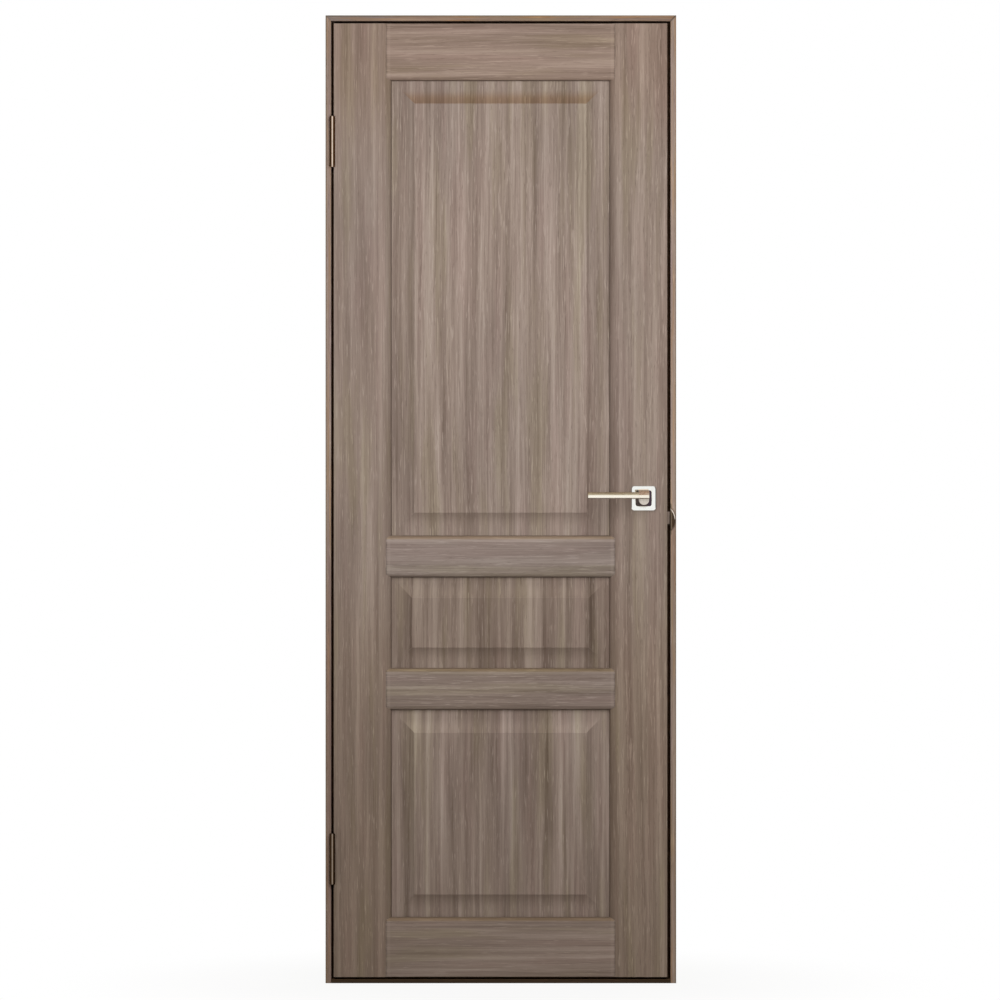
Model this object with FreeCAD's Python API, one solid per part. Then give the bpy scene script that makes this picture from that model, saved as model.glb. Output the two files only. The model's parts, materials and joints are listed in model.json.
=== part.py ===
import FreeCAD, Part

import math
import os

# Interior door: a stile-and-rail leaf with three raised panels, hung in a rebated frame.
# X runs along the width from the hinge side to the lock side, Y from the front to the back,
# Z up from the floor. The origin lies on the flat outer face of the hinge jamb, at floor level,
# halfway through the depth of the frame. All sizes are in millimetres.

# Leaf
leaf_width = 700.0
leaf_height = 2000.0
leaf_thickness = 40.0
leaf_edge_round = 1.5

# Gaps between the leaf and the frame
hinge_gap = 5.0
lock_gap = 6.5
head_gap = 5.0
sill_gap = 5.0
rebate_gap = 5.0

# Frame section: a board beside the leaf, whose front edge is its lip, and a stop behind the leaf
frame_depth = 70.0
lip_width = 12.0
stop_projection = 13.0
frame_edge_round = 2.0
threshold_height = 8.0
threshold_edge_round = 2.5

# Seal strip in the rebate, and the air between it and the closed leaf
seal_width = 7.0
seal_air = 0.4
seal_round_share = 0.9

# Stiles and rails, each measured to the edge of the panel opening
stile_width = 121.5
top_rail_height = 120.0
middle_rail_height = 88.0
bottom_rail_height = 125.0
middle_opening_height = 190.0
lower_opening_height = 435.0
stile_moulding_width = 17.5
rail_moulding_width = 9.0
moulding_lip = 3.0
groove_depth = 10.0
rail_scribe = 14.0
rail_end_round_width = 8.0
rail_end_round_depth = 1.6

# Raised panels
panel_edge_thickness = 12.0
panel_rise = 12.5
panel_cove_width = 36.0
tall_panel_margin = 12.0
middle_panel_margin = 7.0
panel_float = 1.0

# Butt hinges
hinge_length = 100.0
hinge_inset = 248.0
hinge_plate_thickness = 2.5
hinge_plate_width = 30.0
knuckle_count = 4
knuckle_radius = 5.9
knuckle_gap = 0.5
barrel_air = 0.1
pin_radius = 3.0
pin_clearance = 0.05
pin_cap_height = 3.4
pin_cap_air = 0.2
pin_cap_round_share = 0.6

# Latch, set into the lock stile
bolt_drop = 41.0
bolt_height = 25.8
bolt_thickness = 12.0
bolt_reach = 5.5
bolt_inside = 30.0
bolt_travel = 6.0
bolt_clearance = 0.3
bolt_end_air = 1.0
bolt_flat_share = 0.25
bolt_edge_round = 0.5
bolt_crest_round = 1.0
latch_case_end = 47.5
latch_case_back = 18.0
latch_case_thickness = 14.0
faceplate_end = 7.0
faceplate_width = 20.0
faceplate_thickness = 3.0

# Strike, set into the lip of the strike jamb
strike_height = 65.0
strike_width = 29.0
strike_thickness = 2.0
strike_drop = 3.0
strike_hole_clearance = 1.0
strike_pocket_depth = 7.0
tongue_height = 46.0
tongue_bend_radius = 6.0
tongue_length = 4.0

# Lever handle and rose, the same on both faces of the leaf
spindle_height = 1017.0
backset = 50.0
spindle_side = 8.0
spindle_hole_radius = 7.0
spindle_seat = 20.0
rose_side = 52.0
rose_corner_radius = 7.0
rose_thickness = 9.0
rose_bevel = 1.5
window_side = 33.0
window_corner_radius = 4.5
window_depth = 4.0
shank_radius = 10.0
shank_clearance = 0.15
shank_inset = 0.5
hub_air = 1.0
hub_width = 21.5
hub_rise = 16.0
hub_drop = 13.8
grip_length = 118.0
grip_front = 56.0
grip_depth = 13.0
grip_top = 12.8
grip_bottom = -1.0
grip_face_top = 6.5
grip_face_bottom = 1.0
grip_top_slope_depth = 7.0
grip_bottom_slope_depth = 2.5
hub_slope_depth = 12.0
grip_end_bevel = 1.2

# How nearly a soft arc starts level, and the distance below which two places are one
arc_level_share = 0.95
same_place = 1e-6

# Places worked out from the sizes above
leaf_left = lip_width + hinge_gap
leaf_right = leaf_left + leaf_width
strike_jamb_lip = leaf_right + lock_gap
frame_width = strike_jamb_lip + lip_width
leaf_bottom = threshold_height + sill_gap
leaf_top = leaf_bottom + leaf_height
frame_height = leaf_top + head_gap + lip_width
front_face = -frame_depth / 2.0
back_face = frame_depth / 2.0
leaf_middle = front_face + leaf_thickness / 2.0
leaf_back = front_face + leaf_thickness
stop_face = leaf_back + rebate_gap
jamb_width = lip_width + stop_projection
moulding_depth = (leaf_thickness - panel_edge_thickness) / 2.0 - moulding_lip
opening_left = leaf_left + stile_width
opening_right = leaf_right - stile_width
spindle_x = leaf_right - backset
hinge_axis_x = leaf_left - hinge_gap / 2.0
hinge_axis_y = front_face - knuckle_radius - barrel_air
latch_height = spindle_height - bolt_drop
latch_case_middle = spindle_height - bolt_drop / 2.0
latch_case_height = bolt_drop + 2.0 * latch_case_end
latch_case_depth = backset - faceplate_thickness + latch_case_back
faceplate_height = latch_case_height + 2.0 * faceplate_end
strike_height_middle = latch_height - strike_drop


# Basic shapes

def box(low, high):
    """Box between two opposite corners."""
    size = [high[i] - low[i] for i in range(3)]
    return Part.makeBox(size[0], size[1], size[2], FreeCAD.Vector(*low))


def rod(radius, start, length, direction):
    """Round rod from a start point along a direction."""
    return Part.makeCylinder(radius, length, FreeCAD.Vector(*start), FreeCAD.Vector(*direction))


def union(shapes):
    """One solid from shapes that meet."""
    joined = shapes[0]
    for shape in shapes[1:]:
        joined = joined.fuse(shape)
    return joined.removeSplitter()


def along_z(x_of, y_of, z):
    """Placing rule for a section drawn across the width and the depth."""
    return lambda u, v: FreeCAD.Vector(x_of(u), y_of(v), z)


def along_x(z_of, y_of, x):
    """Placing rule for a section drawn across the height and the depth."""
    return lambda u, v: FreeCAD.Vector(x, y_of(v), z_of(u))


def along_y(x_of, z_of, y):
    """Placing rule for an outline drawn on a face of the leaf."""
    return lambda u, v: FreeCAD.Vector(x_of(u), y, z_of(v))


def shift(offset):
    """Rule that moves a section's coordinate."""
    return lambda value: offset + value


def flip(offset):
    """Rule that mirrors a section's coordinate."""
    return lambda value: offset - value


def corner_round(before, corner, after, radius):
    """Start, middle and end of the arc that rounds a corner of an outline."""
    to_before = FreeCAD.Vector(before[0] - corner[0], before[1] - corner[1], 0).normalize()
    to_after = FreeCAD.Vector(after[0] - corner[0], after[1] - corner[1], 0).normalize()
    half_angle = to_before.getAngle(to_after) / 2.0
    run = radius / math.tan(half_angle)
    inward = (to_before + to_after).normalize()
    point = FreeCAD.Vector(corner[0], corner[1], 0)
    start = point + to_before * run
    end = point + to_after * run
    middle = point + inward * (radius / math.sin(half_angle) - radius)
    return [(start.x, start.y), (middle.x, middle.y), (end.x, end.y)]


def curve_middle(start, end, side):
    """Middle of a soft arc that leaves its start nearly level, bulging to the given side."""
    across = abs(end[0] - start[0])
    rise = abs(end[1] - start[1])
    lean = math.atan2(rise, across)
    half_turn = arc_level_share * min(lean, math.pi / 2.0 - lean)
    chord = math.hypot(across, rise)
    bulge = chord / 2.0 * math.tan(half_turn / 2.0)
    run_u = (end[0] - start[0]) / chord
    run_v = (end[1] - start[1]) / chord
    middle_u = (start[0] + end[0]) / 2.0 + side * bulge * run_v
    middle_v = (start[1] + end[1]) / 2.0 - side * bulge * run_u
    return (middle_u, middle_v)


def rounded_outline(corners, place):
    """Closed wire through corners given as (u, v, radius), where radius 0 is a sharp corner."""
    stations = []
    count = len(corners)
    for index, corner in enumerate(corners):
        if corner[2] > 0:
            before = corners[index - 1]
            after = corners[(index + 1) % count]
            stations.append(corner_round(before, corner, after, corner[2]))
        else:
            stations.append([(corner[0], corner[1])])
    edges = []
    for index, station in enumerate(stations):
        if len(station) == 3:
            edges.append(Part.Arc(*[place(*point) for point in station]).toShape())
        leave = place(*station[-1])
        arrive = place(*stations[(index + 1) % count][0])
        if leave.distanceToPoint(arrive) > same_place:
            edges.append(Part.makeLine(leave, arrive))
    return Part.Wire(edges)


def curved_outline(start, runs, place):
    """Closed wire from a start point. A run is an end point, or a middle and an end for an arc."""
    edges = []
    here = start
    for run in runs:
        if isinstance(run[0], tuple):
            middle, end = run
            edges.append(Part.Arc(place(*here), place(*middle), place(*end)).toShape())
        else:
            end = run
            edges.append(Part.makeLine(place(*here), place(*end)))
        here = end
    return Part.Wire(edges)


def prism(wire, direction):
    """Solid drawn out from a closed flat wire."""
    return Part.Face(wire).extrude(FreeCAD.Vector(*direction))


# Leaf: stiles and rails

def moulded_edge(edge, inward, moulding, side):
    """Runs of a section round one edge with its moulding and panel groove, face to face.

    The edge lies at u = edge, inward is the direction of u into the board, and side tells
    which way the section is being followed.
    """
    half = leaf_thickness / 2.0
    half_groove = panel_edge_thickness / 2.0
    shoulder = edge + inward * moulding
    floor = edge + inward * groove_depth
    face = -side * half
    lip = -side * (half - moulding_depth)
    groove = -side * half_groove
    return [
        (curve_middle((shoulder, face), (edge, lip), 1), (edge, lip)),
        (edge, groove),
        (floor, groove),
        (floor, -groove),
        (edge, -groove),
        (edge, -lip),
        (curve_middle((shoulder, -face), (edge, -lip), -1), (shoulder, -face)),
    ]


def plain_edge(edge, inward, side):
    """Runs of a section round one edge with its two corners softened, face to face."""
    half = leaf_thickness / 2.0
    face = -side * half
    near = corner_round((edge + inward * half, face), (edge, face), (edge, 0.0), leaf_edge_round)
    far = corner_round((edge, 0.0), (edge, -face), (edge + inward * half, -face), leaf_edge_round)
    return [near[0], (near[1], near[2]), far[0], (far[1], far[2])]


def board_section(width, low_moulding, high_moulding, place):
    """Section of a stile or rail. A moulding of width 0 leaves that edge plain."""
    if high_moulding > 0:
        high = moulded_edge(width, -1, high_moulding, 1)
        high_start = (width - high_moulding, -leaf_thickness / 2.0)
    else:
        high = plain_edge(width, -1, 1)
        high_start = high.pop(0)
    if low_moulding > 0:
        low = moulded_edge(0.0, 1, low_moulding, -1)
        low_start = (low_moulding, leaf_thickness / 2.0)
    else:
        low = plain_edge(0.0, 1, -1)
        low_start = low.pop(0)
    return curved_outline(high_start, high + [low_start] + low + [high_start], place)


def stile(across):
    """Stile over the full height of the leaf. The rule across turns width into x."""
    place = along_z(across, shift(leaf_middle), leaf_bottom)
    section = board_section(stile_width, 0.0, stile_moulding_width, place)
    return prism(section, (0, 0, leaf_height))


def rounded_ends(low, height):
    """Block as long as a rail, whose ends are softly rounded off towards both faces."""
    start = opening_left - rail_scribe
    end = opening_right + rail_scribe
    half = leaf_thickness / 2.0
    edge = half - rail_end_round_depth
    left = start + rail_end_round_width
    right = end - rail_end_round_width
    runs = [
        (right, -half),
        (curve_middle((right, -half), (end, -edge), 1), (end, -edge)),
        (end, edge),
        (curve_middle((right, half), (end, edge), -1), (right, half)),
        (left, half),
        (curve_middle((left, half), (start, edge), 1), (start, edge)),
        (start, -edge),
        (curve_middle((left, -half), (start, -edge), -1), (left, -half)),
    ]
    outline = curved_outline((left, -half), runs, along_z(shift(0.0), shift(leaf_middle), low))
    return prism(outline, (0, 0, height))


def rail(low, height, low_moulding, high_moulding, stiles):
    """Rail between the stiles, with a tongue in their grooves and its ends scribed over them."""
    start = opening_left - rail_scribe
    end = opening_right + rail_scribe
    place = along_x(shift(low), shift(leaf_middle), start)
    section = board_section(height, low_moulding, high_moulding, place)
    body = prism(section, (end - start, 0, 0)).common(rounded_ends(low, height))
    half_groove = panel_edge_thickness / 2.0
    tongue_low = low + (groove_depth if low_moulding > 0 else 0.0)
    tongue_high = low + height - (groove_depth if high_moulding > 0 else 0.0)
    tongue = box(
        (opening_left - groove_depth, leaf_middle - half_groove, tongue_low),
        (opening_right + groove_depth, leaf_middle + half_groove, tongue_high),
    )
    return union([body, tongue]).cut(stiles[0]).cut(stiles[1])


def panel_profile(length, margin, place):
    """Section across a raised panel, with an edge, a margin and a cove on both faces."""
    half = panel_edge_thickness / 2.0
    crown = half + panel_rise
    foot = groove_depth - panel_float + margin
    top = foot + panel_cove_width
    front = [
        (foot, -half),
        (curve_middle((foot, -half), (top, -crown), -1), (top, -crown)),
        (length - top, -crown),
        (curve_middle((length - foot, -half), (length - top, -crown), 1), (length - foot, -half)),
        (length, -half),
        (length, half),
    ]
    back = [
        (length - foot, half),
        (curve_middle((length - foot, half), (length - top, crown), -1), (length - top, crown)),
        (top, crown),
        (curve_middle((foot, half), (top, crown), 1), (foot, half)),
        (0.0, half),
        (0.0, -half),
    ]
    return curved_outline((0.0, -half), front + back, place)


def raised_panel(low, high, margin):
    """Panel whose coves meet in mitres, as two crossing profiles leave them."""
    seat = groove_depth - panel_float
    left = opening_left - seat
    bottom = low - seat
    width = opening_right - opening_left + 2.0 * seat
    height = high - low + 2.0 * seat
    upright = panel_profile(width, margin, along_z(shift(left), shift(leaf_middle), bottom))
    level = panel_profile(height, margin, along_x(shift(bottom), shift(leaf_middle), left))
    return prism(upright, (0, 0, height)).common(prism(level, (width, 0, 0)))


# Frame

def frame_board(place):
    """Section of the board beside the leaf, from the wall side inwards."""
    corners = [
        (0.0, front_face, frame_edge_round),
        (lip_width, front_face, frame_edge_round),
        (lip_width, back_face, 0.0),
        (0.0, back_face, 0.0),
    ]
    return rounded_outline(corners, place)


def frame_stop(place):
    """Section of the stop that stands on the board behind the leaf."""
    corners = [
        (lip_width, stop_face, 0.0),
        (jamb_width, stop_face, frame_edge_round),
        (jamb_width, back_face, frame_edge_round),
        (lip_width, back_face, 0.0),
    ]
    return rounded_outline(corners, place)


def mitre_cut(across):
    """Wedge above the mitre at the top of a jamb. The rule across turns width into x."""
    reach = 2.0 * jamb_width
    place = along_y(across, shift(frame_height), front_face - jamb_width)
    corners = [(0.0, 0.0, 0.0), (reach, -reach, 0.0), (reach, jamb_width, 0.0), (0.0, jamb_width, 0.0)]
    return prism(rounded_outline(corners, place), (0, frame_depth + 2.0 * jamb_width, 0))


def jamb(section, across, foot):
    """Upright board or stop, from its foot to its mitre with the head."""
    outline = section(along_z(across, shift(0.0), foot))
    return prism(outline, (0, 0, frame_height - foot)).cut(mitre_cut(across))


def head(section):
    """Board or stop of the head, mitred to both jambs."""
    bar = prism(section(along_x(flip(frame_height), shift(0.0), 0.0)), (frame_width, 0, 0))
    reach = 2.0 * jamb_width
    for across in (shift(0.0), flip(frame_width)):
        place = along_y(across, shift(frame_height), front_face - jamb_width)
        corners = [(0.0, 0.0, 0.0), (reach, -reach, 0.0), (0.0, -reach, 0.0)]
        bar = bar.cut(prism(rounded_outline(corners, place), (0, frame_depth + 2.0 * jamb_width, 0)))
    return bar


def threshold():
    """Low board between the jambs, under the leaf and the stop, with its front edge rounded."""
    corners = [
        (0.0, front_face, 0.0),
        (threshold_height, front_face, threshold_edge_round),
        (threshold_height, back_face, 0.0),
        (0.0, back_face, 0.0),
    ]
    outline = rounded_outline(corners, along_x(shift(0.0), shift(0.0), lip_width))
    return prism(outline, (strike_jamb_lip - lip_width, 0, 0))


def threshold_stop():
    """Stop on the threshold behind the leaf, between the stops of the jambs."""
    corners = [
        (0.0, stop_face, 0.0),
        (stop_projection, stop_face, threshold_edge_round),
        (stop_projection, back_face, threshold_edge_round),
        (0.0, back_face, 0.0),
    ]
    outline = rounded_outline(corners, along_x(shift(threshold_height), shift(0.0), jamb_width))
    return prism(outline, (frame_width - 2.0 * jamb_width, 0, 0))


def seal_section(place):
    """D-shaped seal strip, from its foot on the stop towards the leaf."""
    reach = rebate_gap - seal_air
    round_end = min(reach, seal_width / 2.0) * seal_round_share
    corners = [
        (0.0, 0.0, 0.0),
        (seal_width, 0.0, 0.0),
        (seal_width, reach, round_end),
        (0.0, reach, round_end),
    ]
    return rounded_outline(corners, place)


def jamb_seal(across):
    """Seal up one jamb, in the corner of the rebate, from the threshold to the head's seal."""
    place = along_z(lambda u: across(lip_width + u), flip(stop_face), threshold_height)
    top = frame_height - lip_width - seal_width
    return prism(seal_section(place), (0, 0, top - threshold_height))


def head_seal():
    """Seal across the head, over the ends of the two upright seals."""
    start = frame_height - lip_width - seal_width
    place = along_x(lambda u: start + u, flip(stop_face), lip_width)
    return prism(seal_section(place), (strike_jamb_lip - lip_width, 0, 0))


# Hinges

def hinge_recess(side, middle):
    """Space that one hinge plate takes in the wood. Side is 1 for the leaf and -1 for the jamb."""
    face = hinge_axis_x + side * hinge_gap / 2.0
    deep = face + side * hinge_plate_thickness
    low = (min(face, deep), front_face, middle - hinge_length / 2.0)
    high = (max(face, deep), front_face + hinge_plate_width, middle + hinge_length / 2.0)
    return box(low, high)


def hinge_plate(side, middle, first_knuckle):
    """Hinge plate with every second knuckle of the barrel."""
    bottom = middle - hinge_length / 2.0
    knuckle = (hinge_length - (knuckle_count - 1) * knuckle_gap) / knuckle_count
    face = hinge_axis_x + side * hinge_gap / 2.0
    deep = face + side * hinge_plate_thickness
    pieces = [hinge_recess(side, middle)]
    for index in range(first_knuckle, knuckle_count, 2):
        low = bottom + index * (knuckle + knuckle_gap)
        barrel = rod(knuckle_radius, (hinge_axis_x, hinge_axis_y, low), knuckle, (0, 0, 1))
        web = box((min(face, deep), hinge_axis_y, low), (max(face, deep), front_face, low + knuckle))
        pieces.extend([web, barrel])
    bore = rod(
        pin_radius + pin_clearance,
        (hinge_axis_x, hinge_axis_y, bottom - pin_cap_height),
        hinge_length + 2.0 * pin_cap_height,
        (0, 0, 1),
    )
    return union(pieces).cut(bore)


def hinge_pin(middle):
    """Hinge pin with a domed cap at each end."""
    bottom = middle - hinge_length / 2.0 - pin_cap_air
    top = middle + hinge_length / 2.0
    foot = (hinge_axis_x, hinge_axis_y, bottom)
    shaft = rod(pin_radius, foot, top - bottom, (0, 0, 1))
    upper = rod(knuckle_radius, (hinge_axis_x, hinge_axis_y, top), pin_cap_height, (0, 0, 1))
    lower = rod(knuckle_radius, foot, pin_cap_height, (0, 0, -1))
    caps = []
    for cap, end in ((upper, top + pin_cap_height), (lower, bottom - pin_cap_height)):
        rim = [edge for edge in cap.Edges if is_ring_at(edge, end)]
        caps.append(cap.makeFillet(min(pin_cap_height, knuckle_radius) * pin_cap_round_share, rim))
    return union([shaft] + caps)


def is_ring_at(edge, z):
    """Whether an edge is a circle at a height."""
    if not isinstance(edge.Curve, Part.Circle):
        return False
    return abs(edge.Curve.Center.z - z) < same_place


# Latch and strike

def bolt_space(clearance, start, end):
    """Block round the latch bolt, grown by a clearance, between two places along x."""
    half = bolt_thickness / 2.0 + clearance
    tall = bolt_height / 2.0 + clearance
    low = (start, leaf_middle - half, latch_height - tall)
    high = (end, leaf_middle + half, latch_height + tall)
    return box(low, high)


def latch_bolt():
    """Spring bolt, bevelled on the side that meets the strike when the leaf closes."""
    start = leaf_right - bolt_inside
    tip = leaf_right + bolt_reach
    low = leaf_middle - bolt_thickness / 2.0
    high = leaf_middle + bolt_thickness / 2.0
    flat = low + bolt_thickness * bolt_flat_share
    corners = [
        (start, low, 0.0),
        (tip, low, bolt_edge_round),
        (tip, flat, bolt_crest_round),
        (leaf_right, high, 0.0),
        (start, high, 0.0),
    ]
    place = along_z(shift(0.0), shift(0.0), latch_height - bolt_height / 2.0)
    return prism(rounded_outline(corners, place), (0, 0, bolt_height))


def faceplate():
    """Faceplate of the latch, flush with the edge of the leaf."""
    half = faceplate_width / 2.0
    tall = faceplate_height / 2.0
    low = (leaf_right - faceplate_thickness, leaf_middle - half, latch_case_middle - tall)
    high = (leaf_right, leaf_middle + half, latch_case_middle + tall)
    return box(low, high)


def latch_case():
    """Case of the latch, behind the faceplate."""
    inner = leaf_right - faceplate_thickness
    half = latch_case_thickness / 2.0
    tall = latch_case_height / 2.0
    low = (inner - latch_case_depth, leaf_middle - half, latch_case_middle - tall)
    high = (inner, leaf_middle + half, latch_case_middle + tall)
    return box(low, high)


def spindle_bore():
    """Round hole for the spindle, through the whole leaf."""
    return rod(spindle_hole_radius, (spindle_x, front_face, spindle_height), leaf_thickness, (0, 1, 0))


def bolt_guide():
    """Room for the bolt and its travel in the case and the faceplate."""
    back = leaf_right - bolt_inside - bolt_travel - bolt_end_air
    return bolt_space(bolt_clearance, back, leaf_right)


def strike_recess():
    """Space that the strike takes in the lip of the jamb."""
    low = strike_height_middle - strike_height / 2.0
    return box(
        (strike_jamb_lip, front_face, low),
        (strike_jamb_lip + strike_thickness, front_face + strike_width, low + strike_height),
    )


def strike_pocket():
    """Pocket in the lip behind the strike, where the bolt's nose has room."""
    start = strike_jamb_lip + strike_thickness
    return bolt_space(strike_hole_clearance, start, start + strike_pocket_depth)


def strike_plate():
    """Strike with a hole for the bolt and a tongue that curls over the lip in a rounded end."""
    plate = strike_recess()
    near = strike_jamb_lip
    bend = near + tongue_bend_radius
    tip = bend + tongue_length
    inner_radius = tongue_bend_radius - strike_thickness
    diagonal = math.sqrt(0.5)
    outer_middle = (bend - tongue_bend_radius * diagonal, front_face - tongue_bend_radius * diagonal)
    inner_middle = (bend - inner_radius * diagonal, front_face - inner_radius * diagonal)
    runs = [
        (outer_middle, (bend, front_face - tongue_bend_radius)),
        (tip, front_face - tongue_bend_radius),
        (tip, front_face - inner_radius),
        (bend, front_face - inner_radius),
        (inner_middle, (near + strike_thickness, front_face)),
        (near + strike_thickness, front_face + strike_thickness),
        (near, front_face + strike_thickness),
        (near, front_face),
    ]
    low = strike_height_middle - tongue_height / 2.0
    section = curved_outline((near, front_face), runs, along_z(shift(0.0), shift(0.0), low))
    tongue = prism(section, (0, 0, tongue_height))
    high = low + tongue_height
    place = along_y(shift(0.0), shift(0.0), front_face - tongue_bend_radius)
    round_end = ((tip, strike_height_middle), (near, high))
    trim = curved_outline((near, low), [round_end, (near, low)], place)
    tongue = tongue.common(prism(trim, (0, tongue_bend_radius + strike_thickness, 0)))
    hole = bolt_space(strike_hole_clearance, near, near + strike_thickness)
    return union([plate, tongue]).cut(hole)


# Roses and levers

def outward(face):
    """Rule from a distance off one face of the leaf to y. Face is -1 in front and 1 behind."""
    base = front_face if face < 0 else leaf_back
    return lambda distance: base + face * distance


def square_outline(side, radius, y):
    """Rounded square round the spindle, on a plane parallel to the leaf."""
    half = side / 2.0
    corners = [(-half, -half, radius), (half, -half, radius), (half, half, radius), (-half, half, radius)]
    return rounded_outline(corners, along_y(shift(spindle_x), shift(spindle_height), y))


def slab_off_face(wire_at, near, far, face):
    """Solid between two distances off a face of the leaf, drawn from the nearer one."""
    y = outward(face)
    return prism(wire_at(y(near)), (0, face * (far - near), 0))


def rose_bezel(face):
    """Square rose with a bevelled rim and a square window."""
    y = outward(face)
    straight = slab_off_face(
        lambda at: square_outline(rose_side, rose_corner_radius, at), 0.0, rose_thickness - rose_bevel, face
    )
    foot = square_outline(rose_side, rose_corner_radius, y(rose_thickness - rose_bevel))
    crown = square_outline(rose_side - 2.0 * rose_bevel, rose_corner_radius - rose_bevel, y(rose_thickness))
    rim = Part.makeLoft([foot, crown], True, True)
    window = slab_off_face(
        lambda at: square_outline(window_side, window_corner_radius, at), 0.0, rose_thickness, face
    )
    return union([straight, rim]).cut(window)


def rose_inlay(face):
    """Dark plate in the window of the rose, bored for the shank of the lever."""
    y = outward(face)
    depth = rose_thickness - window_depth
    plate = slab_off_face(
        lambda at: square_outline(window_side, window_corner_radius, at), 0.0, depth, face
    )
    centre = (spindle_x, y(0.0), spindle_height)
    return plate.cut(rod(shank_radius + shank_clearance, centre, depth, (0, face, 0)))


def spindle():
    """Square spindle through the leaf into both levers."""
    half = spindle_side / 2.0
    reach = shank_inset + spindle_seat
    return box(
        (spindle_x - half, front_face - reach, spindle_height - half),
        (spindle_x + half, leaf_back + reach, spindle_height + half),
    )


def lever_neck(face):
    """Shank in the rose, round-bottomed hub, and the head that carries the grip."""
    y = outward(face)
    base = rose_thickness + hub_air
    half = hub_width / 2.0
    back = grip_front - grip_depth
    shank = rod(shank_radius, (spindle_x, y(shank_inset), spindle_height), base - shank_inset, (0, face, 0))
    bottom = -hub_drop
    side_low = bottom + half
    runs = [
        (half, hub_rise),
        (-half, hub_rise),
        (-half, side_low),
        ((0.0, bottom), (half, side_low)),
    ]
    hub_wire = curved_outline(
        (half, side_low), runs, along_y(shift(spindle_x), shift(spindle_height), y(base))
    )
    hub = prism(hub_wire, (0, face * (back - base), 0))
    front = [
        (grip_bottom, back, 0.0),
        (grip_bottom, grip_front - grip_bottom_slope_depth, 0.0),
        (grip_face_bottom, grip_front, 0.0),
        (grip_face_top, grip_front, 0.0),
        (hub_rise, grip_front - hub_slope_depth, 0.0),
        (hub_rise, back, 0.0),
    ]
    head_wire = rounded_outline(front, along_x(shift(spindle_height), y, spindle_x - half))
    head_block = prism(head_wire, (hub_width, 0, 0))
    return union([shank, hub, head_block]).cut(spindle())


def lies_at_x(edge, x):
    """Whether both ends of an edge lie at one place along the width."""
    return all(abs(point.X - x) < same_place for point in edge.Vertexes)


def lever_grip(face):
    """Flat grip from the hub to its tip, with a broad slope along its upper front edge."""
    y = outward(face)
    back = grip_front - grip_depth
    section = [
        (grip_bottom, back, 0.0),
        (grip_bottom, grip_front - grip_bottom_slope_depth, 0.0),
        (grip_face_bottom, grip_front, 0.0),
        (grip_face_top, grip_front, 0.0),
        (grip_top, grip_front - grip_top_slope_depth, 0.0),
        (grip_top, back, 0.0),
    ]
    tip = spindle_x - grip_length
    wire = rounded_outline(section, along_x(shift(spindle_height), y, tip))
    bar = prism(wire, (grip_length - hub_width / 2.0, 0, 0))
    end_edges = [edge for edge in bar.Edges if lies_at_x(edge, tip)]
    return bar.makeChamfer(grip_end_bevel, end_edges)


# Assembly

def rail_levels():
    """Lower edge, height and mouldings of each rail, from the bottom of the leaf to its top."""
    lower_middle = leaf_bottom + bottom_rail_height + lower_opening_height
    upper_middle = lower_middle + middle_rail_height + middle_opening_height
    top = leaf_top - top_rail_height
    moulding = rail_moulding_width
    return {
        "bottom_rail": (leaf_bottom, bottom_rail_height, 0.0, moulding),
        "lower_middle_rail": (lower_middle, middle_rail_height, moulding, moulding),
        "upper_middle_rail": (upper_middle, middle_rail_height, moulding, moulding),
        "top_rail": (top, top_rail_height, moulding, 0.0),
    }


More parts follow.
